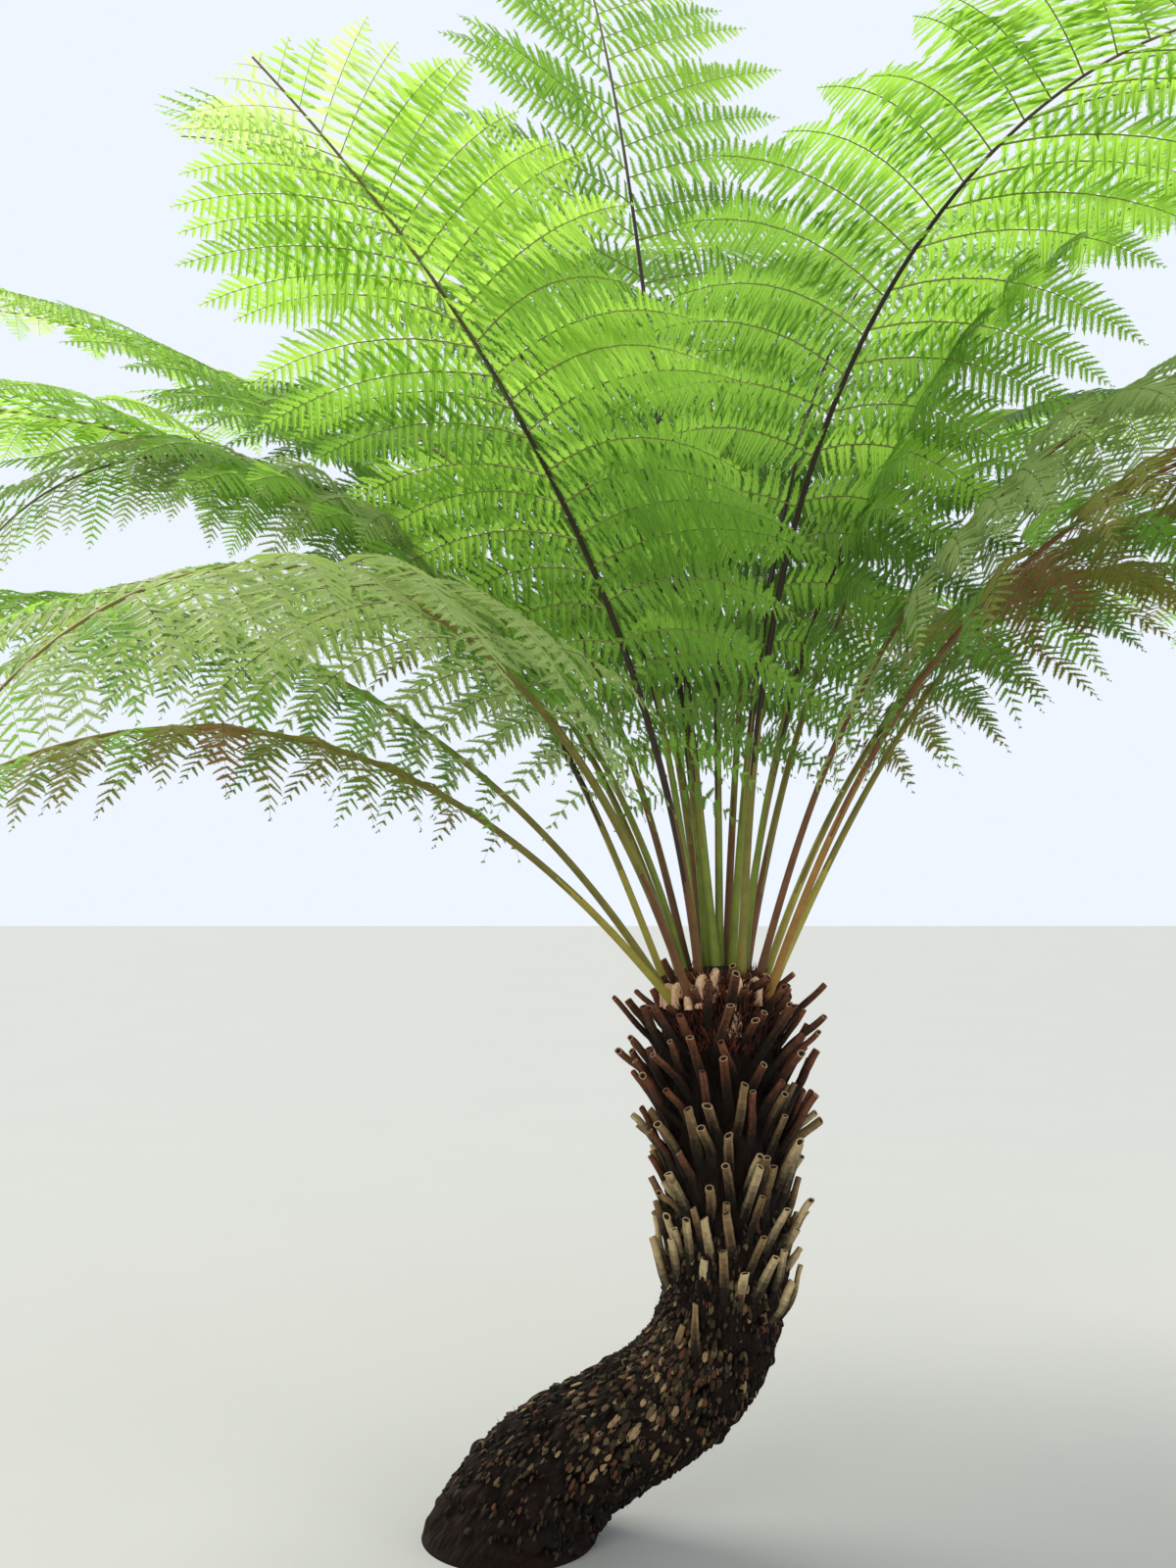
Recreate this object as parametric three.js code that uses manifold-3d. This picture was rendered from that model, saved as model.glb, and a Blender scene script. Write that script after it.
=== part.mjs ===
// Tree fern: a short trunk that leans out of the ground and turns upright, clad in the stubs of old
// frond stalks, with a crown of long arching fronds. Millimetres, +Z up, ground at Z = 0, and the
// origin at the middle of the flat cut under the trunk.
import * as THREE from 'three';
import { mergeVertices } from 'three/addons/utils/BufferGeometryUtils.js';
import Module from 'manifold-3d';

const wasm = await Module();
wasm.setup();

// Trunk: the middle line runs along X and Z through these stations, each with its radius.
// The first lies below the ground, so that the flat cut goes through the root flare.
const trunkStations = [
  { x: -38, z: -120, radius: 198 },
  { x: 12, z: 0, radius: 184 },
  { x: 56, z: 90, radius: 162 },
  { x: 124, z: 166, radius: 144 },
  { x: 229, z: 230, radius: 134 },
  { x: 337, z: 296, radius: 131 },
  { x: 419, z: 376, radius: 131 },
  { x: 465, z: 478, radius: 130 },
  { x: 483, z: 600, radius: 129 },
  { x: 481, z: 800, radius: 128 },
  { x: 472, z: 1020, radius: 130 },
  { x: 470, z: 1170, radius: 124 },
  { x: 470, z: 1240, radius: 88 },
];
const crownAxisX = 470;
const crownTopZ = 1262;
const trunkSides = 14;
const trunkRings = 26;

// Stubs of cut stalks, which stand off the trunk in a spiral
const stubCount = 78;
const stubLowestZ = 640;
const stubHighestZ = 1205;
const stubLength = { low: 92, high: 140 };
const stubSplay = { low: 15, high: 56 };
const stubHalfWidth = { foot: 13, end: 10 };
const stubSink = 34;
const stubLateness = 1.6;
const stubPlay = { angle: 0.2, splay: 10, length: 0.3 };

// Fronds: where the stalk stands in the crown (ring) with the share of its length that is bare and
// the taper of its leaflets to the tip (a low power narrows early), and stalk and leaflet sizes
const rings = {
  heart: { radius: 8, z: 1216, bare: 0.18, taper: 6 },
  inner: { radius: 46, z: 1206, bare: 0.18, taper: 6 },
  middle: { radius: 71, z: 1186, bare: 0.2, taper: 6 },
  outer: { radius: 96, z: 1156, bare: 0.24, taper: 2.6 },
};
const stalkHalf = { foot: 9.5, blade: 7.5, tip: 2.6 };
const ribSteps = 140;
const stalkSteps = 4;
const leafletPairs = 14;
const leafletLength = 590;
const leafletGrowth = { lowest: 0.2, fullAt: 0.45 };
const leafletSag = { base: 1.6, tip: 0.3 };
const leafletCrowding = 0.35;
const leafletRootShare = 0.36;
const leafletWide = { at: 0.42, share: 0.085, least: 9 };
const leafletThin = { share: 0.0068, least: 2.2 };
const leafletAngle = { base: 82, tip: 54 };
const leafletTrials = [1, 0.82, 0.66, 0.5, 0.36, 0.24];
const clearance = 0.3;
const splitAfterPair = 6;

// Fronds that the front view shows. Each has its heading round the trunk, its lift above level at
// the foot, how far it turns down by its tip, how late that turn comes (hold), the spread of its
// leaflets as a share of the longest, how far they sag, and a drift of the heading (sway).
const frondOf = ([heading, lift, turn, hold, length, ring, spread, sag, sway]) => (
  { heading, lift, turn, hold, length, ring, spread, sag, sway }
);
const shownFronds = [
  [229, 82.3, 57, 0.93, 2160, 'middle', 1.1, 0.75, 2],
  [302, 86, 118.6, 1.96, 2600, 'middle', 1.15, 0.7, 0],
  [120, 79.5, 22, 4, 2920, 'heart', 1, 0.35, -3],
  [160, 78, 68, 0.87, 2800, 'middle', 1, 0.5, 4],
  [179, 69, 140, 2.23, 2490, 'outer', 1, 0.9, -4],
  [233, 59, 127, 1.57, 2430, 'outer', 0.97, 1.1, 2],
  [213, 46, 132, 1.69, 2390, 'outer', 0.62, 0.9, -3],
  [346, 75, 112, 1.78, 2550, 'middle', 1, 0.8, 2],
  [331, 69.5, 124, 1.75, 2520, 'outer', 0.9, 0.9, -2],
  [17, 64, 111, 1.95, 2560, 'outer', 1, 0.9, 2],
  [181, 74, 89, 1.07, 2700, 'middle', 1, 0.6, 3],
  [195, 58, 96, 1.24, 2600, 'outer', 0.85, 1, -3],
  [4, 84, 84, 1.5, 2850, 'inner', 1.05, 0.4, 0],
].map(frondOf);

// Fronds behind, evenly from right to left in three tiers that follow one another: the same values
// without the heading
const backFronds = { count: 12, firstHeading: 34, lastHeading: 152 };
const backTiers = [
  [66, 108, 1.4, 2700, 'outer', 1, 0.9, 3],
  [75, 92, 1.5, 2800, 'middle', 1, 0.7, -3],
  [83, 72, 1.6, 2900, 'inner', 1, 0.5, 2],
].map((values) => frondOf([0, ...values]));

const barkMaterial = { color: 0x3b2c20, roughness: 0.95, metalness: 0 };
const frondMaterials = {
  heart: { color: 0x86b93f, roughness: 0.5, metalness: 0 },
  inner: { color: 0x78ab38, roughness: 0.5, metalness: 0 },
  middle: { color: 0x5f9434, roughness: 0.55, metalness: 0 },
  outer: { color: 0x657f45, roughness: 0.6, metalness: 0 },
};

const up = new THREE.Vector3(0, 0, 1);
const squareCorners = [[-1, -1], [1, -1], [1, 1], [-1, 1]];
const radians = THREE.MathUtils.degToRad;
const mix = THREE.MathUtils.lerp;

// A repeatable value from -0.5 to 0.5 for the number k
function wobble(k) {
  const value = Math.sin(k * 12.9898 + 4.1414) * 43758.5453;
  return value - Math.floor(value) - 0.5;
}

function geometryFrom(points, triangles) {
  const geometry = new THREE.BufferGeometry();
  const position = new Float32Array(points.flatMap((point) => point.toArray()));
  geometry.setAttribute('position', new THREE.BufferAttribute(position, 3));
  geometry.setIndex(triangles.flat());
  return geometry;
}

function solidFrom(geometry) {
  const shape = geometry.clone();
  shape.deleteAttribute('normal');
  shape.deleteAttribute('uv');
  const merged = mergeVertices(shape, 1e-4);
  return new wasm.Manifold(new wasm.Mesh({
    numProp: 3,
    vertProperties: new Float32Array(merged.attributes.position.array),
    triVerts: new Uint32Array(merged.index.array),
  }));
}

function geometryOf(solid) {
  const mesh = solid.getMesh();
  const geometry = new THREE.BufferGeometry();
  geometry.setAttribute('position', new THREE.BufferAttribute(new Float32Array(mesh.vertProperties), 3));
  geometry.setIndex(new THREE.BufferAttribute(new Uint32Array(mesh.triVerts), 1));
  return geometry;
}

function largestPiece(solid) {
  return solid.decompose().sort((a, b) => b.volume() - a.volume())[0];
}

// Rings of points joined one to the next, with a fan at each end. A ring runs anticlockwise when
// it is seen from the far end of the tube.
function tubeGeometry(ringList) {
  const sides = ringList[0].length;
  const points = ringList.flat();
  const triangles = [];
  for (let r = 0; r < ringList.length - 1; r += 1) {
    for (let k = 0; k < sides; k += 1) {
      const a = r * sides + k;
      const b = r * sides + ((k + 1) % sides);
      triangles.push([a, b, b + sides], [a, b + sides, a + sides]);
    }
  }
  const last = (ringList.length - 1) * sides;
  for (let k = 1; k < sides - 1; k += 1) {
    triangles.push([0, k + 1, k], [last, last + k, last + k + 1]);
  }
  return geometryFrom(points, triangles);
}

// Trunk

const trunkCurve = new THREE.CatmullRomCurve3(
  trunkStations.map((station) => new THREE.Vector3(station.x, 0, station.z)),
);

function trunkRadius(t) {
  const place = t * (trunkStations.length - 1);
  const index = Math.min(Math.floor(place), trunkStations.length - 2);
  return mix(trunkStations[index].radius, trunkStations[index + 1].radius, place - index);
}

// The trunk's middle, its axis and its two cross directions at curve parameter t
function trunkFrame(t) {
  const axis = trunkCurve.getTangent(t);
  const side = new THREE.Vector3(0, 1, 0);
  const front = new THREE.Vector3().crossVectors(side, axis).normalize();
  return { middle: trunkCurve.getPoint(t), axis, side, front };
}

function trunkSolid() {
  const ringList = [];
  for (let r = 0; r < trunkRings; r += 1) {
    const t = r / (trunkRings - 1);
    const { middle, side, front } = trunkFrame(t);
    const radius = trunkRadius(t);
    const ring = [];
    for (let k = 0; k < trunkSides; k += 1) {
      const angle = (2 * Math.PI * (k + 0.5 * (r % 2))) / trunkSides;
      ring.push(middle.clone()
        .addScaledVector(front, radius * Math.cos(angle))
        .addScaledVector(side, radius * Math.sin(angle)));
    }
    ringList.push(ring);
  }
  const topScale = 0.45;
  const topMiddle = new THREE.Vector3(crownAxisX, 0, crownTopZ);
  ringList.push(ringList.at(-1).map((point) => {
    const inward = point.clone().lerp(topMiddle, 1 - topScale);
    return inward.setZ(crownTopZ);
  }));
  const cutDepth = 400;
  const cutWidth = 1600;
  const underground = new THREE.BoxGeometry(cutWidth, cutWidth, cutDepth).translate(0, 0, -cutDepth / 2);
  return solidFrom(tubeGeometry(ringList)).subtract(solidFrom(underground));
}

// A four-sided bar with a square end, from one point along a direction
function barGeometry(start, direction, length, footHalf, endHalf) {
  const across = new THREE.Vector3().crossVectors(direction, up).normalize();
  const other = new THREE.Vector3().crossVectors(direction, across).normalize();
  const rect = (distance, half) => squareCorners.map(([i, j]) => start.clone()
    .addScaledVector(direction, distance)
    .addScaledVector(across, i * half)
    .addScaledVector(other, j * half));
  return tubeGeometry([rect(0, footHalf), rect(length, endHalf)]);
}

// The curve parameter at which the trunk's middle reaches a height, by halving an interval
function curveParameterAt(z) {
  const halvings = 24;
  let low = 0.4;
  let high = 1;
  for (let step = 0; step < halvings; step += 1) {
    const middle = (low + high) / 2;
    if (trunkCurve.getPoint(middle).z < z) low = middle;
    else high = middle;
  }
  return low;
}

function stubSolids() {
  const goldenAngle = Math.PI * (3 - Math.sqrt(5));
  const solids = [];
  for (let k = 0; k < stubCount; k += 1) {
    const share = k / (stubCount - 1);
    const t = curveParameterAt(mix(stubLowestZ, stubHighestZ, share));
    const { middle, axis, side, front } = trunkFrame(t);
    const angle = k * goldenAngle + stubPlay.angle * wobble(k);
    const outward = front.clone().multiplyScalar(Math.cos(angle)).addScaledVector(side, Math.sin(angle));
    const spread = mix(stubSplay.low, stubSplay.high, share ** stubLateness);
    const splay = radians(spread + stubPlay.splay * wobble(k + 0.3));
    const direction = axis.clone().multiplyScalar(Math.cos(splay)).addScaledVector(outward, Math.sin(splay));
    const bare = mix(stubLength.low, stubLength.high, share) * (1 + stubPlay.length * wobble(k + 0.7));
    const length = bare + stubSink;
    const start = middle.clone()
      .addScaledVector(outward, trunkRadius(t) - stubHalfWidth.foot)
      .addScaledVector(direction, -stubSink);
    solids.push(solidFrom(barGeometry(start, direction, length, stubHalfWidth.foot, stubHalfWidth.end)));
  }
  return solids;
}

// Fronds

// The rib of a frond, walked from its foot: its points, and the direction along it (along), across
// it to its left (across) and off its upper side (above). The lift falls by turn * share ** hold.
function ribWalk(frond) {
  const walk = [];
  const heading = radians(frond.heading);
  const ring = rings[frond.ring];
  const point = new THREE.Vector3(
    crownAxisX + ring.radius * Math.cos(heading),
    ring.radius * Math.sin(heading),
    ring.z,
  );
  for (let k = 0; k <= ribSteps; k += 1) {
    const share = k / ribSteps;
    const lift = radians(frond.lift - frond.turn * share ** frond.hold);
    const yaw = heading + radians(frond.sway) * share;
    const forward = new THREE.Vector3(Math.cos(yaw), Math.sin(yaw), 0);
    const across = new THREE.Vector3(-Math.sin(yaw), Math.cos(yaw), 0);
    const along = forward.multiplyScalar(Math.cos(lift)).addScaledVector(up, Math.sin(lift));
    const above = new THREE.Vector3().crossVectors(along, across);
    walk.push({ point: point.clone(), along, across, above });
    point.addScaledVector(along, frond.length / ribSteps);
  }
  return walk;
}

function ribAt(frond, share) {
  const place = THREE.MathUtils.clamp(share, 0, 1) * (frond.walk.length - 1);
  const index = Math.min(Math.floor(place), frond.walk.length - 2);
  const a = frond.walk[index];
  const b = frond.walk[index + 1];
  const part = place - index;
  return {
    point: a.point.clone().lerp(b.point, part),
    along: a.along.clone().lerp(b.along, part).normalize(),
    across: a.across,
    above: a.above.clone().lerp(b.above, part).normalize(),
  };
}

function ribHalf(frond, share) {
  const { bare } = rings[frond.ring];
  if (share < bare) return mix(stalkHalf.foot, stalkHalf.blade, share / bare);
  return mix(stalkHalf.blade, stalkHalf.tip, (share - bare) / (1 - bare));
}

function ribRing(frond, share, growth = 0) {
  const { point, across, above } = ribAt(frond, share);
  const half = ribHalf(frond, share) + growth;
  return squareCorners.map(([i, j]) => point.clone()
    .addScaledVector(across, i * half)
    .addScaledVector(above, j * half));
}

// Where leaflet pair number j stands: the shares of the rib where its root starts and ends
function leafletRoot(frond, j) {
  const { bare } = rings[frond.ring];
  const place = (j + 0.5) / leafletPairs;
  const crowded = place * (1 + leafletCrowding) - leafletCrowding * place * place;
  const middle = bare + (1 - bare) * crowded;
  const pitch = ((1 - bare) / leafletPairs) * (1 + leafletCrowding - 2 * leafletCrowding * place);
  return { start: middle - pitch * leafletRootShare * 0.5, end: middle + pitch * leafletRootShare * 0.5 };
}

// Length of a leaflet by its place on the blade, from 0 at the lowest to 1 at the tip
function leafletReach(frond, place) {
  const { lowest, fullAt } = leafletGrowth;
  const { taper } = rings[frond.ring];
  const opening = mix(lowest, 1, Math.sin((Math.PI / 2) * Math.min(1, place / fullAt)));
  return leafletLength * frond.spread * opening * (1 - place ** taper);
}

// A leaflet as a thin blade: its root is a side of the rib, it is widest part way out, and it sags
// by the square of the distance, more at the base of the frond than at its tip. side is 1 on the
// left of the rib and -1 on the right.
function leafletShape(frond, j, side, scale) {
  const { start, end } = leafletRoot(frond, j);
  const { bare } = rings[frond.ring];
  const share = (start + end) / 2;
  const place = (share - bare) / (1 - bare);
  const { point, along, across } = ribAt(frond, share);
  const angle = radians(mix(leafletAngle.base, leafletAngle.tip, place));
  const length = leafletReach(frond, place);
  const sag = frond.sag * mix(leafletSag.base, leafletSag.tip, place);
  const direction = along.clone().multiplyScalar(Math.cos(angle))
    .addScaledVector(across, side * Math.sin(angle));
  const root = point.clone().addScaledVector(across, side * ribHalf(frond, share));
  const placeAt = (t) => root.clone()
    .addScaledVector(direction, length * t * scale)
    .addScaledVector(up, -0.5 * sag * length * (t * scale) ** 2);
  const wide = placeAt(leafletWide.at);
  const tip = placeAt(1);
  const path = tip.clone().sub(root).normalize();
  const chord = along.clone().addScaledVector(path, -along.dot(path)).normalize();
  const normal = new THREE.Vector3().crossVectors(chord, path).normalize();
  const halfWidth = Math.max(leafletWide.least, leafletWide.share * length);
  const halfThickness = Math.max(leafletThin.least, leafletThin.share * length);
  const corner = (i, k) => wide.clone()
    .addScaledVector(chord, i * halfWidth)
    .addScaledVector(normal, k * halfThickness);
  const [a, b] = side > 0 ? [1, 2] : [3, 0];
  const lowRing = ribRing(frond, start);
  const highRing = ribRing(frond, end);
  const rootRing = [lowRing[a], lowRing[b], highRing[b], highRing[a]];
  const wideRing = [corner(-1, -1), corner(-1, 1), corner(1, 1), corner(1, -1)];
  return { rootRing, wideRing, tip };
}

// Triangles of a leaflet whose root ring, wide ring and tip have these numbers in a point list
function leafletTriangles(root, wide, tip) {
  const triangles = [];
  for (let k = 0; k < 4; k += 1) {
    const next = (k + 1) % 4;
    triangles.push([root[k], root[next], wide[next]], [root[k], wide[next], wide[k]]);
    triangles.push([wide[k], wide[next], tip]);
  }
  return triangles;
}

function leafletSolid({ rootRing, wideRing, tip }) {
  const points = [...rootRing, ...wideRing, tip];
  const triangles = leafletTriangles([0, 1, 2, 3], [4, 5, 6, 7], 8);
  triangles.push([0, 2, 1], [0, 3, 2]);
  return solidFrom(geometryFrom(points, triangles));
}

// The stations of a rib between two shares: the ends, the bare stalk's steps and each leaflet root
function ribStations(frond, from, to) {
  const { bare } = rings[frond.ring];
  const shares = [from];
  for (let k = 1; k < stalkSteps; k += 1) shares.push((bare * k) / stalkSteps);
  for (let j = 0; j < leafletPairs; j += 1) {
    const { start, end } = leafletRoot(frond, j);
    shares.push(start, end);
  }
  shares.push(to);
  return shares.filter((share) => share >= from && share <= to);
}

function ribSolid(frond, from, to) {
  return solidFrom(tubeGeometry(ribStations(frond, from, to).map((share) => ribRing(frond, share))));
}

// Part of a frond as one closed skin: the rib is a square tube, and where a leaflet stands the side
// of the tube opens into it
function bladeGeometry(frond, from, to) {
  const shares = ribStations(frond, from, to);
  const points = shares.flatMap((share) => ribRing(frond, share));
  const triangles = [];
  const leafletAt = (share, side) => frond.leaflets.find(
    (leaflet) => leaflet.side === side && Math.abs(leaflet.start - share) < 1e-6,
  );
  for (let r = 0; r < shares.length - 1; r += 1) {
    for (let k = 0; k < 4; k += 1) {
      const a = r * 4 + k;
      const b = r * 4 + ((k + 1) % 4);
      const side = { 1: 1, 3: -1 }[k];
      const leaflet = side ? leafletAt(shares[r], side) : undefined;
      if (!leaflet) {
        triangles.push([a, b, b + 4], [a, b + 4, a + 4]);
        continue;
      }
      const first = points.length;
      points.push(...leaflet.shape.wideRing, leaflet.shape.tip);
      const wide = [first, first + 1, first + 2, first + 3];
      triangles.push(...leafletTriangles([a, b, b + 4, a + 4], wide, first + 4));
    }
  }
  const last = (shares.length - 1) * 4;
  triangles.push([0, 2, 1], [0, 3, 2], [last, last + 1, last + 2], [last, last + 2, last + 3]);
  return geometryFrom(points, triangles);
}

function boxesMeet(a, b) {
  return a.min.every((value, axis) => value < b.max[axis] + 1)
    && b.min.every((value, axis) => value < a.max[axis] + 1);
}

// Deals out the leaflets one pair at a time round the whole crown. A leaflet that would touch
// another frond is tried shorter, and is skipped when even the shortest would touch.
function growLeaflets(fronds) {
  const placed = fronds.map((frond) => {
    const solid = ribSolid(frond, 0, 1);
    return { frond, solid, box: solid.boundingBox() };
  });
  for (let j = 0; j < leafletPairs; j += 1) {
    for (const frond of fronds) {
      for (const side of [1, -1]) {
        for (const scale of leafletTrials) {
          const shape = leafletShape(frond, j, side, scale);
          const solid = leafletSolid(shape);
          const box = solid.boundingBox();
          const clear = placed.every((other) => other.frond === frond || !boxesMeet(box, other.box)
            || solid.minGap(other.solid, 2 * clearance) > clearance);
          if (!clear) continue;
          placed.push({ frond, solid, box });
          frond.leaflets.push({ side, start: leafletRoot(frond, j).start, shape });
          break;
        }
      }
    }
  }
}

function allFronds() {
  const list = shownFronds.map((frond) => ({ ...frond }));
  for (let k = 0; k < backFronds.count; k += 1) {
    const share = k / (backFronds.count - 1);
    const heading = mix(backFronds.firstHeading, backFronds.lastHeading, share);
    list.push({ ...backTiers[k % backTiers.length], heading });
  }
  return list.map((frond) => ({ ...frond, walk: ribWalk(frond), leaflets: [] }));
}

// Assembly

const plant = new THREE.Group();

function addMesh(name, geometry, look) {
  const mesh = new THREE.Mesh(geometry, new THREE.MeshStandardMaterial(look));
  mesh.name = name;
  mesh.geometry.computeVertexNormals();
  plant.add(mesh);
}

const fronds = allFronds();
growLeaflets(fronds);

// Each stalk stands in a socket of the trunk that is a clearance wider all round
const socketShare = 0.12;
const socketGrowth = clearance + 0.05;
let trunk = wasm.Manifold.union([trunkSolid(), ...stubSolids()]);
for (const frond of fronds) {
  const foot = ribRing(frond, 0, socketGrowth).map((point) => point
    .addScaledVector(frond.walk[0].along, -socketGrowth));
  const shares = ribStations(frond, 0, socketShare).slice(1);
  const socket = tubeGeometry([foot, ...shares.map((share) => ribRing(frond, share, socketGrowth))]);
  trunk = trunk.subtract(solidFrom(socket));
}
addMesh('trunk', geometryOf(largestPiece(trunk)), barkMaterial);

fronds.forEach((frond, k) => {
  const number = String(k + 1).padStart(2, '0');
  const look = frondMaterials[frond.ring];
  const split = (leafletRoot(frond, splitAfterPair).end + leafletRoot(frond, splitAfterPair + 1).start) / 2;
  const gap = clearance / frond.length;
  addMesh(`frond_${number}_lower`, bladeGeometry(frond, 0, split), look);
  addMesh(`frond_${number}_upper`, bladeGeometry(frond, split + gap, 1), look);
});

export default plant;
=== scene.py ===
import math

import bpy
import numpy as np
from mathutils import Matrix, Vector


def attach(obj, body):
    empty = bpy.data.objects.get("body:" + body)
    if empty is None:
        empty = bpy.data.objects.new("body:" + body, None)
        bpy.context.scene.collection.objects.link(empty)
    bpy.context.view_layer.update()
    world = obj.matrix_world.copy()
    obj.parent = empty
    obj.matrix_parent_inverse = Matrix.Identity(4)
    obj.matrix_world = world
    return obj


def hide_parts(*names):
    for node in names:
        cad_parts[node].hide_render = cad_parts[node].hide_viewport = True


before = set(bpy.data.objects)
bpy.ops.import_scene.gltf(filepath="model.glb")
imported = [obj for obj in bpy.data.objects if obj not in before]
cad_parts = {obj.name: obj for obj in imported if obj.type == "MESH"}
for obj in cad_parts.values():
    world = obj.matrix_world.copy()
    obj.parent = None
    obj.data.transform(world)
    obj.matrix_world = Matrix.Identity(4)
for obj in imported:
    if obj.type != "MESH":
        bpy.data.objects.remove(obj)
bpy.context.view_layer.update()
goldenAngle = math.pi * (3 - math.sqrt(5))
up = np.array([0.0, 0.0, 1.0])

# What the view and the studio need. The eye and the lens are those of the photograph.
studio = {
    "eye": (0.173, -3.63, 1.60), "pitch": 1.15, "lens": 37.1, "farthest": 200,  # pitch in degrees
    "sky": (0.86, 0.92, 1.0), "skyStrength": 1.0,
    "floor": (0.35, 0.355, 0.345), "floorSize": 40.0,
    # name, kind, place, aim, energy, size (degrees for a sun, metres for a disk) and colour
    "lamps": [
        ("topSun", "SUN", (-2.6, 2.8, 7.5), (0.4, 0, 1.8), 4.6, 42, (1.0, 0.96, 0.86)),
        ("frontSoft", "AREA", (-3.0, -6.0, 4.5), (0.4, 0, 1.2), 170, 4.0, (1.0, 0.96, 0.88)),
        ("sideSoft", "AREA", (5.5, -2.5, 3.5), (0.4, 0, 1.2), 90, 3.0, (1.0, 0.97, 0.90)),
    ],
}

# The crown's rule, as in the part's source, in metres and degrees
crown = {
    "axisX": 0.470, "steps": 140,
    # radius, height, the bare share of the stalks that stand there, and their blades' taper
    "rings": {
        "heart": (0.008, 1.216, 0.18, 6.0), "inner": (0.046, 1.206, 0.18, 6.0),
        "middle": (0.071, 1.186, 0.20, 6.0), "outer": (0.096, 1.156, 0.24, 2.6),
    },
    "half": (0.0095, 0.0075, 0.0026),  # of a rib at its foot, the start of its blade and its tip
    "crowding": 0.35,  # how much closer the side ribs stand towards the tip
    "reach": 0.590, "lowest": 0.20,  # the longest side rib, and the first one's share of it
    "fullAt": 0.45,  # share of the blade at which they are longest
    "sag": (1.6, 0.3), "angle": (82.0, 54.0),  # at the base and at the tip of the blade
}

# heading, lift, turn, hold, length, ring, spread, sag, sway,
# then the tones of stalk, rib and leaflets
shownFronds = [
    (229, 82.3, 57, 0.93, 2.16, "middle", 1.1, 0.75, 2, "red", "dark", "glow"),
    (302, 86, 118.6, 1.96, 2.60, "middle", 1.15, 0.7, 0, "olive", "dark", "bright"),
    (120, 79.5, 22, 4, 2.92, "heart", 1.0, 0.35, -3, "green", "dark", "bright"),
    (160, 78, 68, 0.87, 2.80, "middle", 1.0, 0.5, 4, "green", "olive", "glow"),
    (179, 69, 140, 2.23, 2.49, "outer", 1.0, 0.9, -4, "yellow", "dark", "grey"),
    (233, 59, 127, 1.57, 2.43, "outer", 0.97, 1.1, 2, "red", "olive", "grey"),
    (213, 46, 132, 1.69, 2.39, "outer", 0.62, 0.9, -3, "yellow", "olive", "old"),
    (346, 75, 112, 1.78, 2.55, "middle", 1.0, 0.8, 2, "red", "red", "grey"),
    (331, 69.5, 124, 1.75, 2.52, "outer", 0.9, 0.9, -2, "orange", "red", "old"),
    (17, 64, 111, 1.95, 2.56, "outer", 1.0, 0.9, 2, "yellow", "olive", "old"),
    (181, 74, 89, 1.07, 2.70, "middle", 1.0, 0.6, 3, "green", "olive", "glow"),
    (195, 58, 96, 1.24, 2.60, "outer", 0.85, 1.0, -3, "olive", "olive", "deep"),
    (4, 84, 84, 1.5, 2.85, "inner", 1.05, 0.4, 0, "green", "dark", "bright"),
]
# the back of the crown: headings dealt out evenly, and all the other values by tier
backFronds = {"count": 12, "headings": (34, 152)}
backTiers = [
    (66, 108, 1.4, 2.7, "outer", 1.0, 0.9, 3, "yellow", "olive", "old"),
    (75, 92, 1.5, 2.8, "middle", 1.0, 0.7, -3, "red", "olive", "deep"),
    (83, 72, 1.6, 2.9, "inner", 1.0, 0.5, 2, "green", "dark", "bright"),
]


# Small helpers


def unit(vectors):
    # each vector divided by its own length
    return vectors / np.maximum(np.linalg.norm(vectors, axis=-1, keepdims=True), 1e-12)


def dot(a, b):
    # the sum of products, kept as an axis of one
    return (a * b).sum(-1, keepdims=True)


def between(ends, share):
    # first + (last - first) share
    return ends[0] + (ends[1] - ends[0]) * share


def leant(a, b, angle):
    # a leaning towards b: a cos + b sin
    return a * np.cos(angle)[..., None] + b * np.sin(angle)[..., None]


def turned(vectors, axis, angle):
    # Rodrigues: v cos + (axis x v) sin + axis (axis . v)(1 - cos)
    rest = axis * dot(axis, vectors) * (1 - np.cos(angle)[..., None])
    return leant(vectors, np.cross(axis, vectors), angle) + rest


def spreadFrom(places, *pairs):
    # a row of points from each place: place + direction amount, summed over the pairs of both
    points = places[..., None, :]
    for directions, amounts in pairs:
        points = points + directions[..., None, :] * amounts[..., None]
    return points


def jitter(rng, reach, size):
    # play of as much as reach to both sides
    return rng.uniform(-reach, reach, size)


def aroundOnce(count, shift=0.0):
    # angles that go evenly round a circle
    return (np.arange(count) + shift) * 2 * np.pi / count


def waves(rng, around, along, turnsAround, turnsAlong, count):
    # a sum of cosines whose waves go a whole number of times round, so that the seam closes
    m = rng.integers(*turnsAround, count)
    n = rng.uniform(*turnsAlong, count) * rng.choice([-1, 1], count)
    phase = rng.uniform(0, 2 * np.pi, count)
    total = np.zeros(np.broadcast(around, along).shape)
    for a, b, c in zip(m, n, phase):
        total += np.cos(a * around + 2 * np.pi * b * along + c)
    return total / math.sqrt(count / 2)


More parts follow.
